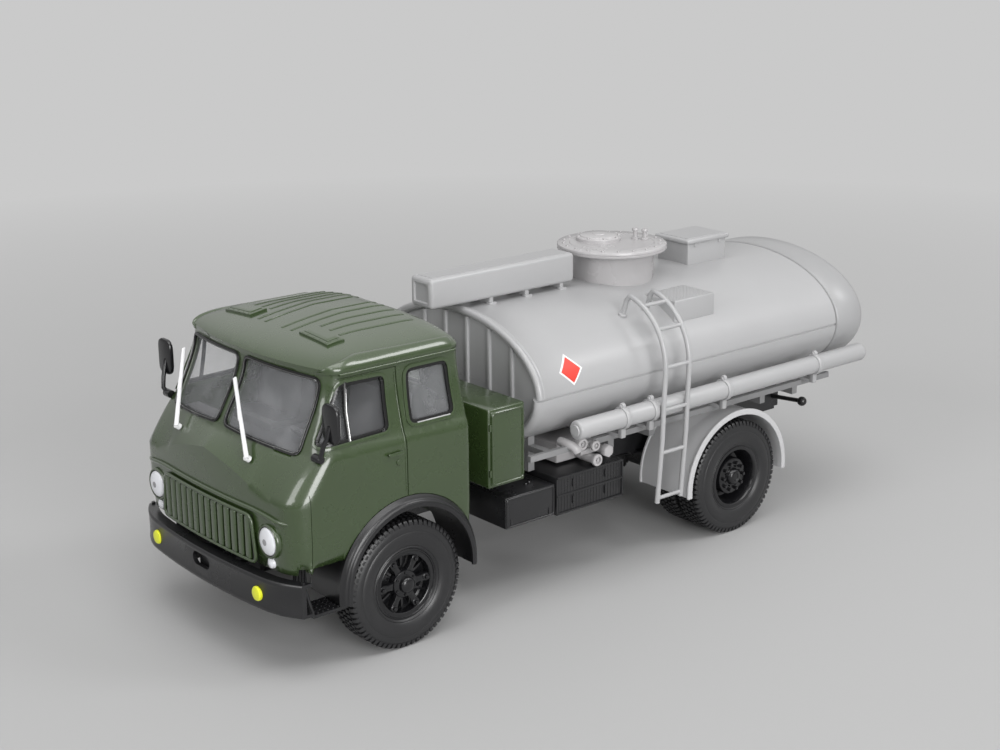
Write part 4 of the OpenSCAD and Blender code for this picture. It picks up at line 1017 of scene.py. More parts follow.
class TRUCK_OT_wheels(bpy.types.Operator):
    """Models the tyres with their shoulder lugs, the star rims in front and the dished twin rims behind"""
    bl_idname = "truck.wheels"
    bl_label = "Wheels"
    lugs: bpy.props.IntProperty(name="Lugs", description="Blocks round each row of a tyre's tread", default=66,
                                min=20, max=80)
    arms: bpy.props.IntProperty(name="Arms", description="Arms of the star in a front wheel", default=6, min=3, max=10)

    def execute(self, context):
        front_w, twin_w, twin_gap = 7.2, 6.4, 0.8
        out_y = TYRE_OUT - twin_w / 2
        in_y = out_y - twin_w - twin_gap
        self.add_tyres("front_tyre", FRONT_X, [TYRE_OUT - front_w / 2], front_w, FRONT_SET, "front_tyres")
        self.add_tyres("rear_tyre", REAR_X, [in_y, out_y], twin_w, REAR_SET, "rear_tyres")
        self.add_front_rims(TYRE_OUT - front_w / 2)
        self.add_rear_rims(in_y, out_y)
        return {"FINISHED"}

    def add_tyres(self, name, x, places, w, body, node):
        bm = bmesh.new()
        r, lug_w = TYRE_R, 0.72
        tread = r - 0.5
        base = tread - 0.25
        # Half of the tyre's section: radius, and share of the width from the middle
        half = [(6.75, 0.3), (6.75, 0.36), (7.0, 0.42), (7.3, 0.445), (7.5, 0.43), (7.7, 0.455), (8.6, 0.492),
                (9.5, 0.5), (10.2, 0.492), (10.35, 0.478), (10.5, 0.486), (11.2, 0.46), (11.7, 0.43), (tread, 0.40),
                (tread, 0.05), (base, 0.03)]
        profile = [(pr, -share * w) for pr, share in half] + [(pr, share * w) for pr, share in reversed(half)]
        # Blocks of the tread, in the same measures; then their side and how far round they start
        shoulder = [(base, 0.29), (r, 0.29), (r, 0.38), (r - 0.12, 0.415), (r - 0.6, 0.447), (r - 1.0, 0.455),
                    (r - 1.1, 0.42), (tread - 0.4, 0.38)]
        middle = [(base, 0.11), (r, 0.11), (r, 0.25), (base, 0.25)]
        centre = [(base, -0.06), (r, -0.06), (r, 0.06), (base, 0.06)]
        rows = [(shoulder, 1, 0.0), (shoulder, -1, 0.5), (middle, 1, 0.5), (middle, -1, 0.0), (centre, 1, 0.25)]
        for y in places:
            add_turned(bm, profile, (x, y, AXLE_Z), LEFT, 96)
            for outline, side, shift in rows:
                kept = set(bm.verts)
                place = (Matrix.Translation((x, y, AXLE_Z)) @ Matrix.Rotation(math.tau / self.lugs * shift, 4, "Y")
                         @ Matrix.Translation((-lug_w / 2, 0, 0)) @ axes(UP, (0, side, 0), FORWARD))
                add_prism(bm, [(pr, share * w) for pr, share in outline], place, lug_w)
                made = [v for v in bm.verts if v not in kept]
                edges, faces = {e for v in made for e in v.link_edges}, {f for v in made for f in v.link_faces}
                bmesh.ops.spin(bm, geom=made + list(edges) + list(faces), cent=(x, y, AXLE_Z), axis=LEFT,
                               use_duplicate=True, angle=math.tau * (self.lugs - 1) / self.lugs, steps=self.lugs - 1)
        mirror_left(bm)
        place_piece(bm, name, "tyre", body=body, replaces=[node], sharp=40)

    def add_rim(self, bm, x, y, profile, steps=72):
        add_turned(bm, profile, (x, y, AXLE_Z), LEFT, steps)

    def add_front_rims(self, y):
        bm = bmesh.new()
        # Well and flange, then the dished disc behind the star; the hub's cap is apart
        self.add_rim(bm, FRONT_X, y, [
            (6.1, -2.7), (6.85, -2.7), (6.85, 2.3), (7.05, 2.5), (7.05, 2.85), (6.85, 2.98), (6.65, 2.9), (6.55, 2.72),
            (5.95, 2.7), (5.8, 2.78), (5.68, 2.7), (5.62, 2.4), (5.55, 1.0), (5.2, 0.7), (3.2, 0.8), (2.6, 1.0),
            (0, 1.0), (0, -0.6), (5.9, -0.6), (6.1, -2.7)])
        self.add_rim(bm, FRONT_X, y, [
            (2.75, 0.3), (2.75, 2.3), (2.55, 2.6), (1.9, 2.7), (1.62, 2.8), (1.58, 3.3), (1.45, 3.65), (1.15, 3.85),
            (0.6, 3.98), (0, 4.0)], 48)
        arm = [(1.6, -0.95), (3.6, -0.62), (4.6, -0.8), (5.75, -0.8), (5.75, 0.8), (4.6, 0.8), (3.6, 0.62), (1.6, 0.95)]
        web = rectangle(3.0, 5.65, -0.3, 0.3)
        for k in range(self.arms):
            # The arms of the star, and short webs between them at the edge of the disc
            for outline, share, depth, bevel in ((arm, k, 1.8, 0.3), (web, k + 0.5, 0.9, 0.15)):
                turn = Matrix.Translation((FRONT_X, y, AXLE_Z)) @ Matrix.Rotation(math.tau * share / self.arms, 4, "Y")
                place = turn @ Matrix.Translation((0, 0.6, 0)) @ SIDE_UP
                add_prism(bm, outline, place, depth, bevel)
        mirror_left(bm)
        place_piece(bm, "front_wheel_discs", "wheel_paint", "black_plastic", FRONT_SET, ["front_rims"], 38)
        bm = bmesh.new()
        for spot in wheel_ring(FRONT_X, y + 2.35, 5.05, self.arms):
            add_turned(bm, [(0.75, 0), (0.75, 0.12), (0.62, 0.2), (0.3, 0.2)], spot, LEFT, 20)
            add_nuts(bm, [spot], LEFT, 0.46, 0.62)
        add_nuts(bm, wheel_ring(FRONT_X, y + 2.55, 2.2, 6, 3 / math.tau), LEFT, 0.26, 0.35)
        mirror_left(bm)
        place_piece(bm, "front_wheel_nuts", "wheel_paint", "black_plastic", FRONT_SET)

    def add_rear_rims(self, in_y, out_y):
        bm = bmesh.new()
        # One well through both tyres with the dished disc in it, then the hub
        self.add_rim(bm, REAR_X, 0, [
            (6.1, in_y - 2.4), (6.85, in_y - 2.4), (6.85, out_y + 2.2), (7.05, out_y + 2.4), (7.05, out_y + 2.75),
            (6.85, out_y + 2.85), (6.2, out_y + 2.8), (5.95, out_y + 2.5), (5.75, out_y + 0.2), (5.3, out_y - 1.3),
            (4.6, out_y - 1.7), (0, out_y - 1.7), (0, out_y - 2.6), (5.6, out_y - 2.6), (6.1, in_y - 2.4)])
        self.add_rim(bm, REAR_X, 0, [
            (4.1, out_y - 1.8), (4.1, out_y + 1.4), (3.95, out_y + 1.7), (3.7, out_y + 1.8), (1.9, out_y + 1.85),
            (1.75, out_y + 2.1), (1.6, out_y + 2.7), (1.35, out_y + 2.9), (0.8, out_y + 2.95), (0.7, out_y + 2.8),
            (0, out_y + 2.8)], 48)
        for spot in wheel_ring(REAR_X, out_y - 1.68, 4.9, 5):
            add_turned(bm, [(1.25, 0.0), (1.25, 0.14), (1.0, 0.14), (1.0, -0.2), (0, -0.2)], spot, LEFT, 20)
        add_rod(bm, (REAR_X, in_y - 2, AXLE_Z), (REAR_X, out_y - 2.4, AXLE_Z), 2.6, segments=32)
        mirror_left(bm)
        place_piece(bm, "rear_wheel_discs", "wheel_paint", "black_plastic", REAR_SET, ["rear_rims"], 38)
        bm = bmesh.new()
        add_nuts(bm, wheel_ring(REAR_X, out_y + 1.75, 3.05, 10), LEFT, 0.42, 0.75)
        add_nuts(bm, wheel_ring(REAR_X, out_y + 1.85, 2.25, 8, 0.5), LEFT, 0.2, 0.35)
        mirror_left(bm)
        place_piece(bm, "rear_wheel_nuts", "wheel_paint", "black_plastic", REAR_SET)


# Front

LAMP_Y, LAMP_Z, LAMP_R = 0.733 * CAB_W, 25.6, 2.77


class TRUCK_OT_front(bpy.types.Operator):
    """Models the grille, the lamps and the bumper"""
    bl_idname = "truck.front"
    bl_label = "Front"
    ribs: bpy.props.IntProperty(name="Grille ribs", description="Upright ribs in the grille", default=14, min=6, max=24)

    def execute(self, context):
        self.add_grille()
        self.add_lamps()
        self.add_bumper()
        return {"FINISHED"}

    def add_grille(self):
        low, high, foot, top = 20.6, 29.4, 16.5, 15.3
        bm = bmesh.new()

        # A near-black sheet behind the ribs: painted shade between them
        def backing(u, v):
            y = (2 * u - 1) * (foot + (top - foot) * v)
            return Vector((front_x(y, 26) + 0.22, y, low + (high - low) * v))
        add_sheet(bm, 40, 4, backing)
        place_piece(bm, "grille_shade_backing", "grille_painted_shade", "black_plastic", outward=False)
        bm = bmesh.new()
        pitch = 2 * top / self.ribs
        for k in range(self.ribs):
            y = -top + pitch * (k + 0.5)
            x, half = front_x(y, 26), pitch * 0.37
            add_block(bm, (x + 0.1, y - half, low + 0.3), (x + 0.85, y + half, high - 0.3), 0.34, 4)
        corners = fillet([(-foot, low), (foot, low), (top, high), (-top, high)], 1.6, 6)
        add_ring(bm, [(front_x(p[0], 26) + 0.55, p[0], p[1]) for p in self.dense(corners)], 0.34, 12)
        place_piece(bm, "grille_ribs", "cab_paint", replaces=["grille"])

    def dense(self, outline):
        """The closed outline with points at most 2 mm apart."""
        out = []
        for i, a in enumerate(outline):
            b = outline[(i + 1) % len(outline)]
            count = max(1, math.ceil((Vector(b) - Vector(a)).length / 2))
            out += [Vector(a).lerp(Vector(b), k / count) for k in range(count)]
        return out

    def add_lamps(self):
        r, face = LAMP_R, front_x(LAMP_Y, 25)
        head, low = (face, LAMP_Y, LAMP_Z), (face - 0.3, LAMP_Y, 21.35)
        lens = [(r - 0.18, -0.2)]
        lens += [((r - 0.18) * across, 0.35 + 0.75 * out) for across, out in arc((0, 0), 1, range(0, 91, 9))]
        for name, profile, spot, segments, finish, slot, node in (
                ("lamp_bezels", [(r + 0.55, -0.9), (r + 0.5, 0.15), (r + 0.4, 0.4), (r + 0.2, 0.55), (r + 0.02, 0.5),
                                 (r - 0.05, 0.3), (r - 0.05, -0.2)], head, 64, "cab_paint", None, None),
                # A black ring between each lens and its bezel, in the gasket's black: painted shadow in the gap between
                # them
                ("lamp_shadow_rings", [(r + 0.08, 0.1), (r + 0.1, 0.42), (r - 0.02, 0.5), (r - 0.16, 0.42), (r - 0.2, 0.1)],
                 head, 64, "gasket", "lamp_silver", None),
                ("lamp_lenses", lens, head, 64, "lamp_silver", None, "headlamps"),
                ("lamp_dots", [(0.62, 1.0), (0.6, 1.11), (0.3, 1.15), (0, 1.15)], head, 24, "lamp_grey", "lamp_silver",
                 None),
                ("indicator_lenses", [(1.05, -0.7), (1.05, 0.05), (0.95, 0.3), (0.6, 0.52), (0, 0.6)], low, 32,
                 "lamp_silver", None, "indicators"),
                ("fog_lenses", [(1.4, -0.4), (1.4, 0.12), (1.25, 0.32), (0.7, 0.45), (0, 0.5)],
                 (self.bumper_x(18), 18, 15.5), 40, "lamp_yellow", None, "fog_lamps")):
            bm = bmesh.new()
            add_turned(bm, profile, spot, FORWARD, segments)
            mirror_left(bm)
            place_piece(bm, name, finish, slot, replaces=[node] if node else ())

    def bumper_x(self, y, t=0.0):
        """The bumper's face, bowed, with ends bent back."""
        bend_y, bend_r = 19, 18
        bend = bend_r - math.sqrt(bend_r**2 - max(0, abs(y) - bend_y)**2)
        return NOSE - t - y * y / 320 - bend

    def add_bumper(self):
        bm = bmesh.new()
        low, high, half = 12.5, 18.9, TYRE_OUT - 0.2
        # Depth behind the face and height, round the section
        section = [(0.12, low + 1.0), (0.02, low + 0.8), (0.0, low + 0.6), (0.05, low + 0.2), (0.25, low), (2.4, low),
                   (2.4, low + 0.5), (1.0, low + 0.6)]
        section += [(t, low + high - z) for t, z in reversed(section)]
        section.append(section[0])

        def place(u, v):
            y = (2 * u - 1) * half
            t, z = section[round(v * (len(section) - 1))]
            return Vector((self.bumper_x(y, t), y, z))
        add_sheet(bm, 56, len(section) - 1, place)
        bmesh.ops.remove_doubles(bm, verts=bm.verts, dist=MERGE)
        bmesh.ops.recalc_face_normals(bm, faces=bm.faces)
        # The slot for the tow pin, cut through the front and the back of the face
        slot_y, slot_z, slot_r = 1.65, 16.5, 1.35
        slot = [(y + math.copysign(slot_y, y), z)
                for y, z in arc((0, slot_z), slot_r, (a for a in range(0, 360, 15) if a not in (90, 270)))]

        def near_slot(place):
            return abs(place.y) < 6 and 13.4 < place.z < 18.2
        for sign in (1, -1):
            remove_faces(bm, cut_region(bm, slot, 0, lambda f, sign=sign: sign * f.normal.x > 0.7
                                        and near_slot(f.calc_center_median())))
        border = [e for e in bm.edges if len(e.link_faces) == 1 and all(abs(v.co.y) < 6 for v in e.verts)]
        bmesh.ops.bridge_loops(bm, edges=border)
        bmesh.ops.holes_fill(bm, edges=[e for e in bm.edges if len(e.link_faces) == 1], sides=0)
        add_block(bm, (75.5, 8.3, low + 0.7), (NOSE - 1, 10, high - 0.7))
        add_block(bm, (75.5, -10, low + 0.7), (NOSE - 1, -8.3, high - 0.7))
        add_block(bm, (76, -2.7, 14.2), (NOSE - 1.4, 2.7, 18.3), 0.2)
        place_piece(bm, "bumper_bar", "black_plastic", replaces=["bumper"], sharp=40)


# Mudguards and steps

class TRUCK_OT_mudguards(bpy.types.Operator):
    """Models the mudguards with their beaded edges"""
    bl_idname = "truck.mudguards"
    bl_label = "Mudguards"

    def execute(self, context):
        out = TYRE_OUT + 0.9
        inner = TYRE_OUT - 10.6
        front = [(14.5, inner), (14.5, out - 0.6), (13.95, out - 0.55), (13.9, out - 0.35), (13.95, out - 0.1),
                 (14.1, out), (14.6, out), (14.8, out - 0.08), (14.9, out - 0.3), (15.0, out - 0.45),
                 (15.25, out - 0.55), (15.45, out - 0.7), (15.55, out - 0.95), (15.75, out - 1.2), (GUARD_R, CAB_W),
                 (15.75, CAB_W - 1.2), (15.4, inner), (14.5, inner)]
        self.add_guard("front_guard", (GUARD_X, GUARD_Z), front, "black_plastic", "black_plastic", "front_mudguards")
        rear_out = TYRE_OUT + 0.4
        rear = [(14.2, 12.8), (14.2, rear_out - 0.1), (14.3, rear_out), (14.9, rear_out), (15.2, rear_out - 0.02),
                (15.42, rear_out - 0.12), (15.5, rear_out - 0.32), (15.42, rear_out - 0.55), (15.2, rear_out - 0.66),
                (15, rear_out - 0.75), (15, 13.4), (15.3, 13.3), (15.3, 12.9), (15.2, 12.8), (14.2, 12.8)]
        # The rear mudguards take the lighter copy of the tank grey: painted light
        self.add_guard("rear_guard", (REAR_X, AXLE_Z), rear, "rear_guard_painted_light", "tank_paint", "rear_mudguards")
        return {"FINISHED"}

    def add_guard(self, name, centre, profile, finish, slot, node):
        start, end = -5, 184  # degrees, from the front over the top
        bm = bmesh.new()
        made = add_turned(bm, profile, (0, 0, 0), UP, 72, math.radians(end - start))
        # The arc starts on the minus x side: stand it up and turn its start to the front
        stand = (Matrix.Translation((centre[0], 0, centre[1])) @ Matrix.Rotation(math.radians(180 - start), 4, "Y")
                 @ SIDE_UP)
        bmesh.ops.transform(bm, matrix=stand, verts=made)
        bmesh.ops.holes_fill(bm, edges=[e for e in bm.edges if len(e.link_faces) == 1], sides=0)
        if node == "rear_mudguards":
            add_block(bm, (REAR_X - 1, SUBFRAME_Y, 25), (REAR_X + 1, 13.2, AXLE_Z + 14.6), 0.15)
        mirror_left(bm)
        place_piece(bm, name, finish, slot, replaces=[node], sharp=40)


class TRUCK_OT_cab_fittings(bpy.types.Operator):
    """Models the mirrors, the wipers, the locker behind the cab and the ribbed plates at the steps"""
    bl_idname = "truck.cab_fittings"
    bl_label = "Cab fittings"

    def execute(self, context):
        self.add_mirrors()
        self.add_wipers()
        self.add_locker()
        self.add_step_treads()
        return {"FINISHED"}

    def add_step_treads(self):
        """Studs on the front steps and ribs on the plates over them."""
        rear, front, top, plate_y = FRONT_X + TYRE_R + 0.9, NOSE - 7, 12.4, TYRE_OUT - 6.3
        pitch = 1.1
        bm = bmesh.new()
        for i in range(int((front - rear - 0.8) / pitch) + 1):
            for j in range(5):
                add_turned(bm, [(0.3, -0.1), (0.28, 0.12), (0.16, 0.2), (0, 0.22)],
                           (rear + 0.45 + pitch * i, 21.95 + pitch * j, top), UP, 12)
        for k in range(4):
            x = front - 0.3 - 0.65 * k
            add_rod(bm, (x, plate_y, top), (x, plate_y, CAB_FOOT - 0.2), 0.2, segments=12)
        mirror_left(bm)
        place_piece(bm, "step_treads", "black_gloss", "black_plastic")

    def add_mirrors(self):
        x, y, z = CAB_FRONT - 9.6, CAB_W + 1.75, 48
        for name, finish, slot, node, inset, low, high, bevel in (
                ("mirror_heads", "black_gloss", "black_plastic", ["mirrors"], 0, 0.15, 1.0, 0.3),
                ("mirror_faces", "etched_metal", None, [], 0.35, 0.02, 0.2, 0)):
            bm = bmesh.new()
            half_y, half_z = 2.4 - inset, 3.6 - inset
            place = Matrix.Translation((x + low, y, z)) @ axes(LEFT, UP, FORWARD)
            add_prism(bm, fillet(rectangle(-half_y, half_y, -half_z, half_z), 1.9, 8), place, high - low, bevel)
            mirror_left(bm)
            place_piece(bm, name, finish, slot, replaces=node)
        bm = bmesh.new()
        foot = Vector((x + 1.9, CAB_W - 0.2, 41.2))
        add_tube(bm, [foot, foot + Vector((0.3, 0.8, 0.9)), foot + Vector((-0.1, 1.2, 3.0)),
                      (x + 1.3, y - 0.3, z - 2.6), (x + 0.8, y - 0.2, z - 0.5)], 0.45, 12)
        add_turned(bm, [(0, -1.7), (0.8, -1.7), (0.8, 0.3), (0.6, 0.6), (0, 0.65)], foot, LEFT, 20)
        mirror_left(bm)
        place_piece(bm, "mirror_arms", "black_gloss", "black_plastic")

    def add_wipers(self):
        bm = bmesh.new()
        for y, tip in ((12.4, (CAB_FRONT - 6.9, 0.6, 50.4)), (-12.4, (CAB_FRONT - 9.4, -22.3, 50.8))):
            foot, tip = Vector((CAB_FRONT - 1.5, y, 39.7)), Vector(tip)
            add_rod(bm, foot + (foot - tip) * 0.04, tip, 0.46, 0.32, 16, 0.1)
            add_rod(bm, foot.lerp(tip, 0.45) + Vector((0.1, 0, 0)), tip + (tip - foot) * 0.01 - Vector((0.25, 0, 0)),
                    0.44, 0.26, 12, 0.08)
            add_turned(bm, [(0.62, -0.7), (0.62, 0.25), (0.45, 0.4), (0, 0.42)], (CAB_FRONT - 1.6, y - 0.1, 39.2),
                       (0.8, 0, 0.6), 16)
        place_piece(bm, "wiper_arms", "wiper_silver", "etched_metal", replaces=["wipers"])

    def add_locker(self):
        low, high = node_box("locker")
        bm = bmesh.new()
        x0, x1, w, z0, z1 = low.x, high.x, high.y, 25.8, high.z
        add_block(bm, (x0, -w + 0.35, z0), (x1, w - 0.35, z1), 0.45, 3)
        add_block(bm, (x0 + 3, -10, low.z), (x1 - 2, 10, z0 + 0.2))
        add_block(bm, (x0 + 0.55, w - 0.5, z0 + 0.55), (x1 - 0.55, w, z1 - 0.55), 0.25, 3)
        for z in (z0 + 3.2, z1 - 3.6):
            add_rod(bm, (x1 - 0.35, w - 0.15, z - 0.7), (x1 - 0.35, w - 0.15, z + 0.7), 0.28, segments=12)
        add_block(bm, (x0 + 0.35, w - 0.3, 33.4), (x0 + 1.2, w, 34.5), 0.1)
        edge = fillet(rectangle(x0 + 0.8, x1 - 0.8, z0 + 0.8, z1 - 0.8), 0.8, 4)
        add_ring(bm, [(p[0], w - 0.02, p[1]) for p in edge], 0.24, 10)
        mirror_upright(bm)
        place_piece(bm, "locker_body", "cab_paint", replaces=["locker"])


def sink_panel(bm, wanted, margin, depth):
    """Sinks or raises a panel within each flat side that is wanted, leaving a margin round it."""
    bm.normal_update()
    bmesh.ops.inset_individual(bm, faces=[f for f in bm.faces if wanted(f)], thickness=margin)
    bmesh.ops.inset_individual(bm, faces=[f for f in bm.faces if wanted(f) and f.calc_area() > 8],
                               thickness=abs(depth) * 0.6, depth=depth)


def mirror_upright(bm):
    """Mirrors what sticks out on the left of the middle block to the right side."""
    faces = [f for f in bm.faces if f.calc_center_median().y > 24]
    copy = bmesh.ops.duplicate(bm, geom=faces)["geom"]
    bmesh.ops.scale(bm, vec=(1, -1, 1), verts=moved_verts(copy))
    bmesh.ops.reverse_faces(bm, faces=[g for g in copy if isinstance(g, bmesh.types.BMFace)])


class TRUCK_OT_boxes(bpy.types.Operator):
    """Models the battery box and the ribbed tool box under the left side of the frame"""
    bl_idname = "truck.boxes"
    bl_label = "Boxes"
    ribs: bpy.props.IntProperty(name="Box ribs", description="Fine ribs along the tool box", default=22, min=4, max=40)

    def execute(self, context):
        self.add_battery_box()
        self.add_tool_box()
        return {"FINISHED"}

    def add_battery_box(self):
        low, high = node_box("battery_box")
        bm = bmesh.new()
        face_y = high.y - 0.15
        add_block(bm, (low.x, 14, low.z), (high.x, face_y, high.z), 0.25, 3)
        add_block(bm, (low.x + 1.3, low.y, 19), (high.x - 1.3, 14.3, 22))
        edge = fillet(rectangle(low.x + 0.35, high.x - 0.35, low.z + 0.35, high.z - 0.35), 0.5, 4)
        add_ring(bm, [(p[0], face_y, p[1]) for p in edge], 0.2, 10)
        for x in (low.x + 1.3, high.x - 1.6):
            add_block(bm, (x, face_y - 0.1, low.z + 0.5), (x + 0.4, high.y, low.z + 1.9), 0.08)
        add_nuts(bm, [(low.x + 3.4, 21.5, high.z), (low.x + 4.6, 21.9, high.z)], UP, 0.42, 0.4)
        add_block(bm, (low.x + 0.6, 17, high.z - 0.1), (high.x - 0.6, 17.5, high.z + 0.15), 0.1)
        place_piece(bm, "battery_body", "black_satin", "black_plastic", replaces=["battery_box"])

    def add_tool_box(self):
        low, high = node_box("tool_box")
        bm = bmesh.new()
        face_y = high.y - 0.3
        add_block(bm, (low.x, 14.2, low.z), (high.x, face_y, high.z), 0.2, 3)
        add_block(bm, (low.x + 2.4, low.y, 18.4), (high.x - 2.4, 14.4, 21.6))
        middle = 19.9
        for z, tall in ((low.z, 0.4), (middle - 0.2, 0.4), (high.z - 0.45, 0.45)):
            add_block(bm, (low.x, face_y - 0.1, z), (high.x, high.y - 0.05, z + tall), 0.1)
        for x in (low.x, high.x - 0.4):
            add_block(bm, (x, face_y - 0.1, low.z), (x + 0.4, high.y - 0.05, high.z), 0.1)
        pitch = (high.x - low.x - 1) / self.ribs
        for k in range(self.ribs):
            x = low.x + 0.5 + pitch * (k + 0.5)
            add_block(bm, (x - 0.14, face_y - 0.05, low.z + 0.3), (x + 0.14, face_y + 0.06, high.z - 0.3), 0.03)
        for share in (0.27, 0.75):
            x = low.x + (high.x - low.x) * share
            for z in (middle - 2.4, middle + 1.2):
                add_block(bm, (x - 0.2, face_y - 0.05, z), (x + 0.2, high.y, z + 1.7), 0.08)
        place_piece(bm, "tool_body", "black_satin", "black_plastic", replaces=["tool_box"])


# Tank fittings

LADDER_X = (TANK_FRONT - 30.2, TANK_FRONT - 37.0)
BEND_Y, BEND_Z, BEND_R = 16.5, TANK_Z + 1.1, 14.1
HOSE_Y, HOSE_Z, HOSE_R = 28.0, TANK_Z - 7.2, 2.0
RAIL_TOP = 29.65  # the angle rail under the hose tubes
SUBFRAME_Y = 10.05  # the outer face of the subframe's rails


class TRUCK_OT_tank_fittings(bpy.types.Operator):
    """Models the ladder, the hose tubes, the valves, the cases on top and the hatched walkway"""
    bl_idname = "truck.tank_fittings"
    bl_label = "Tank fittings"

    def execute(self, context):
        self.add_ladder()
        self.add_hose_tubes()
        self.add_valves()
        self.add_cases()
        self.add_walkway()
        return {"FINISHED"}

    def add_ladder(self):
        bm = bmesh.new()
        centre, out = (BEND_Y, BEND_Z), BEND_Y + BEND_R
        rail = [(out, 14.0), (out, 28)] + arc(centre, BEND_R, range(0, 80, 5))
        rail += [(19.4, TANK_Z + 14.7), (18.7, TANK_Z + 13.9), (17.8, TANK_Z + 10.9)]
        rungs = [(out, z) for z in (15, 24.9, 34.1, 43.1)] + arc(centre, BEND_R, (36, 61))

        def leaning(points):
            """The foot leans in under 30 mm, and the whole ladder leans to the rear as it rises."""
            return [(0.6 - 0.03 * (z - 14), y - 0.05 * max(0, 30 - z), z) for y, z in points]
        for x in LADDER_X:
            add_tube(bm, [(x + lean, y, z) for lean, y, z in leaning(rail)], 0.55, 14)
            add_turned(bm, [(0.9, -0.2), (0.9, 0.25), (0.5, 0.4), (0, 0.4)], (x - 0.4, 17.7, TANK_Z + 10.6),
                       (0, 0.4, 1), 16)
        for lean, y, z in leaning(rungs):
            add_rod(bm, (LADDER_X[0] + lean, y, z), (LADDER_X[1] + lean, y, z), 0.42, segments=14)
        place_piece(bm, "ladder_bars", "tank_paint", replaces=["ladder"], sharp=50)

    def add_hose_tubes(self):
        bm = bmesh.new()
        start, end = TANK_REAR + 7.3, TANK_FRONT - 8
        half = (end - start) / 2
        profile = [(0, -half), (1.1, -half), (1.2, -half + 0.25), (1.6, -half + 0.25), (1.85, -half + 0.4),
                   (HOSE_R, -half + 0.8)]
        profile += [(r, -z) for r, z in reversed(profile)]
        add_turned(bm, profile, ((start + end) / 2, HOSE_Y, HOSE_Z), FORWARD, 40)
        for x in (TANK_FRONT - 21.6, LADDER_X[0] + 0.65, TANK_FRONT - 51.3, TANK_FRONT - 80.6):
            add_turned(bm, [(HOSE_R, -0.6), (HOSE_R + 0.25, -0.6), (HOSE_R + 0.35, -0.45), (HOSE_R + 0.35, 0.45),
                            (HOSE_R + 0.25, 0.6), (HOSE_R, 0.6)], (x + 0.6, HOSE_Y, HOSE_Z), FORWARD, 40)
            lug_z = HOSE_Z + HOSE_R + 0.45
            add_rod(bm, (x + 0.2, HOSE_Y, lug_z), (x + 1.0, HOSE_Y, lug_z), 0.7, segments=20, bevel=0.12)
            add_nuts(bm, [(x + 0.9, HOSE_Y, lug_z)], FORWARD, 0.35, 0.35)
            add_block(bm, (x, HOSE_Y - 0.7, RAIL_TOP), (x + 1.2, HOSE_Y + 0.5, HOSE_Z - HOSE_R + 0.1), 0.15)
            add_block(bm, (x, 23.8, RAIL_TOP), (x + 1.2, HOSE_Y - 0.6, 30.4), 0.12)
        mirror_left(bm)
        place_piece(bm, "hose_cases", "tank_paint", replaces=["hose_tubes"], sharp=45)

    def add_valves(self):
        bm = bmesh.new()
        f = TANK_FRONT
        add_block(bm, (f - 20, SUBFRAME_Y, 24.4), (f - 10.4, 20, 28.4), 0.3)
        add_tube(bm, [(f - 9.6, 22, 29.9), (f - 9.6, 24.4, 29.9), (f - 9.8, 25.5, 29.7), (f - 10.2, 26.0, 29.2),
                      (f - 10.5, 26.1, 28.6)], 0.95, 18)
        # Valves: place, radius, start and end of the body
        for x, z, r, y0, y1 in ((-11.9, 29.8, 1.0, 24.85, 26.4), (-15.3, 28.8, 0.85, 24.85, 26.6),
                                (-16.2, 25.4, 1.0, 19, 26.2)):
            add_turned(bm, [(r, y0), (r, y1 - 0.8), (r + 0.25, y1 - 0.75), (r + 0.25, y1 - 0.15), (r + 0.1, y1),
                            (r - 0.25, y1), (r - 0.3, y1 - 0.55), (0.3, y1 - 0.55), (0.25, y1 - 0.1), (0, y1 - 0.1)],
                       (f + x, 0, z), LEFT, 28)
        add_rod(bm, (f - 18.8, 19, 26.9), (f - 18.8, 25.3, 26.9), 1.0, segments=24)
        add_nuts(bm, [(f - 18.8, 25, 26.9)], LEFT, 1.4, 1.6)
        add_rod(bm, (f - 19.4, 23.2, 26.9), (f - 13.4, 23.2, 26.9), 0.75, segments=20)
        add_rod(bm, (f - 16.2, 22.6, 25.4), (f - 16.2, 22.6, 28.6), 0.6, segments=16)
        # The drain valve under the rear of the tank
        drain_y = 12
        add_turned(bm, [(1.2, tank_side(drain_y, 0, False) + 0.2), (1.2, 25.4), (1.8, 25.2), (1.8, 24.0), (1.6, 23.6),
                        (0.9, 23.6), (0.8, 23.9), (0, 23.9)], (TANK_REAR + 9.8, drain_y, 0), UP, 28)
        place_piece(bm, "valve_row", "neck_paint", "tank_paint", replaces=["valves"], sharp=40)

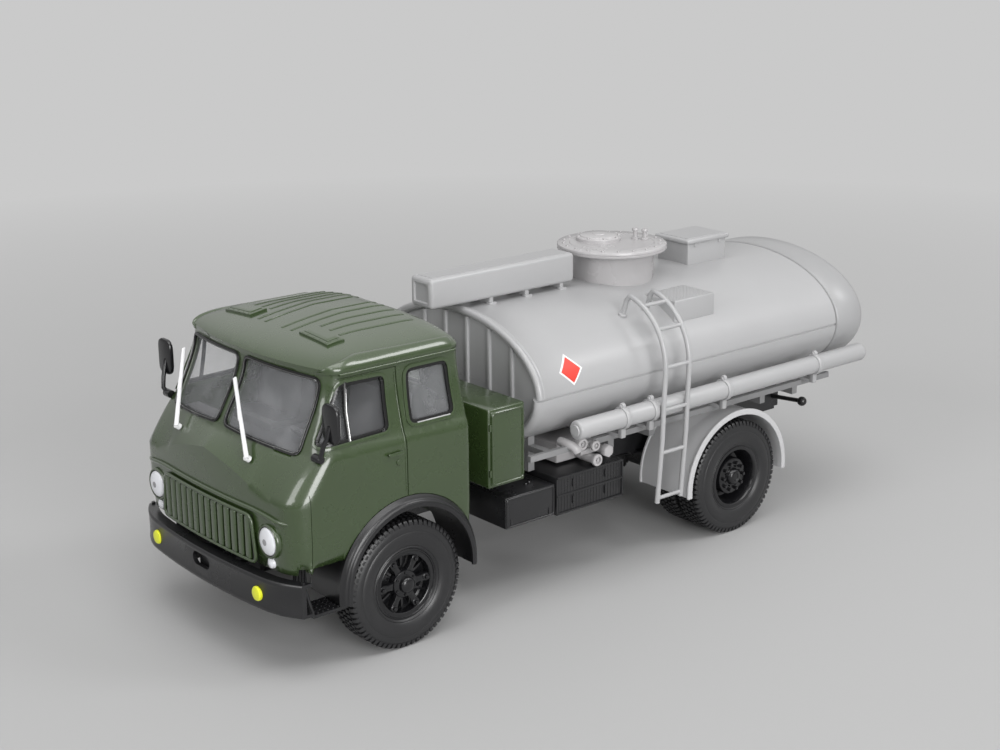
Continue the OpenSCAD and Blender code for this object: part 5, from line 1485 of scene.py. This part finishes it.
    def add_cases(self):
        low, high = node_box("pipe_case")
        top = TANK_Z + 14.1
        bm = bmesh.new()
        add_block(bm, (low.x, low.y, top + 1.1), high, 0.8, 4)
        sink_panel(bm, lambda f: f.normal.x > 0.99, 0.45, -0.4)
        sink_panel(bm, lambda f: f.normal.z > 0.99, 0.5, 0.1)
        for x in (2.8, 12.4, 22):
            x += low.x
            add_block(bm, (x, -3, tank_side(3, -0.4)), (x + 1, 3, top + 1.3), 0.12)
            add_block(bm, (x - 0.4, 2.2, tank_side(2.8, -0.3)), (x + 1.4, 3.6, tank_side(2.8) + 0.35), 0.12)
        add_rod(bm, (high.x - 0.6, 1.9, high.z - 1.4), (high.x - 0.1, 1.9, high.z - 1.4), 0.35, segments=12, bevel=0.08)
        place_piece(bm, "pipe_cover", "tank_paint", replaces=["pipe_case"])
        low, high = node_box("rear_case")
        bm = bmesh.new()
        add_block(bm, (low.x + 0.6, -4.8, top - 1.6), (high.x - 0.6, 4.8, high.z - 0.8), 0.4, 3)
        add_block(bm, (low.x, low.y, high.z - 1.1), high, 0.4, 3)
        sink_panel(bm, lambda f: f.normal.z > 0.99 and f.calc_center_median().z > high.z - 0.01, 0.7, 0.12)
        for x in (low.x + 2.4, high.x - 3.2):
            add_block(bm, (x, high.y - 0.9, high.z - 1.9), (x + 0.8, high.y - 0.3, high.z - 0.9), 0.1)
        place_piece(bm, "rear_cover", "tank_paint", replaces=["rear_case"])

    def add_walkway(self):
        low, high = node_box("walkway")
        bm = bmesh.new()
        add_block(bm, (low.x, low.y, tank_side(21.5, -0.4)), high, 0.3, 3)
        pitch, step = 1.0, 0.11
        length, width = high.x - low.x - 1, high.y - low.y - 1

        def tread(u, v):
            x, y = low.x + 0.5 + u * length, low.y + 0.5 + v * width
            ridge = max(abs(math.cos(math.pi * (x + y) / pitch)), abs(math.cos(math.pi * (x - y) / pitch)))
            return Vector((x, y, high.z - 0.03 + 0.08 * ridge**4))
        add_sheet(bm, round(length / step), round(width / step), tread)
        place_piece(bm, "walkway_box", "tank_paint", replaces=["walkway"])


# Stage

class TRUCK_OT_stage(bpy.types.Operator):
    """Adds the floor, the lamps, the world and the camera at the photograph's angle"""
    bl_idname = "truck.stage"
    bl_label = "Stage"

    def execute(self, context):
        scene, look = context.scene, context.scene.truck_stage
        self.add_camera(scene, look)
        self.add_floor(look)
        self.add_lamps()
        self.set_world(scene, look)
        return {"FINISHED"}

    def add_camera(self, scene, look):
        target = Vector((8.98, 0, 38.34)) * MM
        a, e = look.azimuth, look.elevation
        back = Vector((math.cos(a) * math.cos(e), math.sin(a) * math.cos(e), math.sin(e)))
        camera = bpy.data.objects.new("camera", bpy.data.cameras.new("camera"))
        turn = back.to_track_quat("Z", "Y").to_matrix().to_4x4()
        camera.matrix_world = (Matrix.Translation(target + back * look.distance) @ turn
                               @ Matrix.Rotation(look.roll, 4, "Z"))
        camera.data.lens = look.lens
        camera.data.sensor_width = 36
        camera.data.clip_start = 0.01
        scene.collection.objects.link(camera)
        scene.camera = camera

    def add_floor(self, look):
        bm = bmesh.new()
        bmesh.ops.create_grid(bm, x_segments=1, y_segments=1, size=6)
        mesh = bpy.data.meshes.new("floor")
        bm.to_mesh(mesh)
        bm.free()
        floor = bpy.data.objects.new("floor", mesh)
        bpy.context.scene.collection.objects.link(floor)
        f = new_finish("floor")
        f.surface(Base_Color=look.floor, Roughness=0.6 + 0.1 * f.noise(30, 2))
        paper = Socket(f, f.out.inputs[0].links[0].from_socket)
        distance = f.node("ShaderNodeVectorMath", {"operation": "LENGTH"}, f.place(), output=1)
        seen = f.node("ShaderNodeLightPath", output="Is Camera Ray")
        far = ((distance - 0.15) * 3.2).clamped() * seen
        glow = f.node("ShaderNodeEmission", None, look.backdrop, 1.0)
        mesh.materials.append(f.end(f.node("ShaderNodeMixShader", None, far, paper, glow)))

    def add_lamps(self):
        rows = [  # name, place, aim, size, watts
            ("lamp_key", (0.1, 0.25, 1.0), (0, 0, 0.03), 0.8, 5.3),
            ("lamp_left", (0.3, 1.15, 0.34), (0, 0, 0.03), 0.6, 9.8),
            ("lamp_front", (1.2, 0.1, 0.6), (0, 0, 0.03), 0.5, 3.8),
            ("lamp_small", (0.55, 0.75, 0.75), (0, 0, 0.03), 0.12, 0.8),
            ("lamp_strip", (-0.5, 0.5, 0.7), (0, 0, 0.04), 0.25, 1.6),
        ]
        for name, place, aim, size, watts in rows:
            lamp = bpy.data.objects.new(name, bpy.data.lights.new(name, "AREA"))
            lamp.data.shape = "SQUARE"
            lamp.data.size = size
            lamp.data.energy = watts
            direction = Vector(place) - Vector(aim)
            lamp.matrix_world = Matrix.Translation(place) @ direction.to_track_quat("Z", "Y").to_matrix().to_4x4()
            bpy.context.scene.collection.objects.link(lamp)

    def set_world(self, scene, look):
        world = bpy.data.worlds.new("studio")
        scene.world = world
        f = Finish(world, "ShaderNodeOutputWorld")
        rays = {name: f.node("ShaderNodeLightPath", output="Is %s Ray" % name)
                for name in ("Camera", "Transmission", "Glossy")}
        seen = (rays["Camera"] + rays["Transmission"]).clamped()
        up = (f.split(f.place("Generated"))[2] * 1.5).clamped()
        f.end(f.node("ShaderNodeBackground", None, f.mix(seen, (0.75, 0.75, 0.75), look.backdrop),
                     0.5 + 0.5 * seen + rays["Glossy"] * (up - 0.1)))
        scene.view_settings.view_transform = "Standard"


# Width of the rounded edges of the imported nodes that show
EDGED_NODES = {"fuel_tank": 0.3, "chassis_frame": 0.1, "tank_subframe": 0.12, "leaf_springs": 0.08,
               "engine_block": 0.3, "seats": 0.5, "cab_floor": 0.2, "tow_hook": 0.12}


class TRUCK_OT_carried_nodes(bpy.types.Operator):
    """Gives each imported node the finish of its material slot"""
    bl_idname = "truck.carried_nodes"
    bl_label = "Finish the packed nodes"

    def execute(self, context):
        slots = {row["node"]: row["material_slot"] for row in frame["record"]["subparts"]}
        for name, node in frame["nodes"].items():
            node.data.materials.clear()
            node.data.materials.append(finish_of(slots[name]))
            if name in EDGED_NODES:
                edge = node.modifiers.new("edge", "BEVEL")
                edge.width = EDGED_NODES[name] * MM
                edge.segments = 2
                edge.limit_method = "ANGLE"
                edge.angle_limit = math.radians(40)
            for polygon in node.data.polygons:
                polygon.material_index = 0
        return {"FINISHED"}


class TRUCK_PT_panel(bpy.types.Panel):
    """Lists the colours, the stage and the steps"""
    bl_idname = "TRUCK_PT_panel"
    bl_label = "Tanker truck"
    bl_space_type = "VIEW_3D"
    bl_region_type = "UI"
    bl_category = "Truck"

    def draw(self, context):
        for group in (context.scene.truck_colours, context.scene.truck_stage):
            for key in group.__annotations__:
                self.layout.prop(group, key)
        for step in STEPS:
            self.layout.operator(step.bl_idname)


GROUPS = {"truck_colours": TruckColours, "truck_stage": TruckStage}
STEPS = [TRUCK_OT_cab, TRUCK_OT_tank, TRUCK_OT_manhole, TRUCK_OT_wheels, TRUCK_OT_front, TRUCK_OT_mudguards,
         TRUCK_OT_cab_fittings, TRUCK_OT_boxes, TRUCK_OT_tank_fittings, TRUCK_OT_carried_nodes, TRUCK_OT_stage]
CLASSES = [*GROUPS.values(), *STEPS, TRUCK_PT_panel]


def register():
    for cls in CLASSES:
        bpy.utils.register_class(cls)
    for name, group in GROUPS.items():
        setattr(bpy.types.Scene, name, bpy.props.PointerProperty(type=group))


def unregister():
    for name in GROUPS:
        delattr(bpy.types.Scene, name)
    for cls in reversed(CLASSES):
        bpy.utils.unregister_class(cls)


def main():
    register()
    for step in STEPS:
        family, name = step.bl_idname.split(".")
        getattr(getattr(bpy.ops, family), name)()


if __name__ == "__main__":
    main()
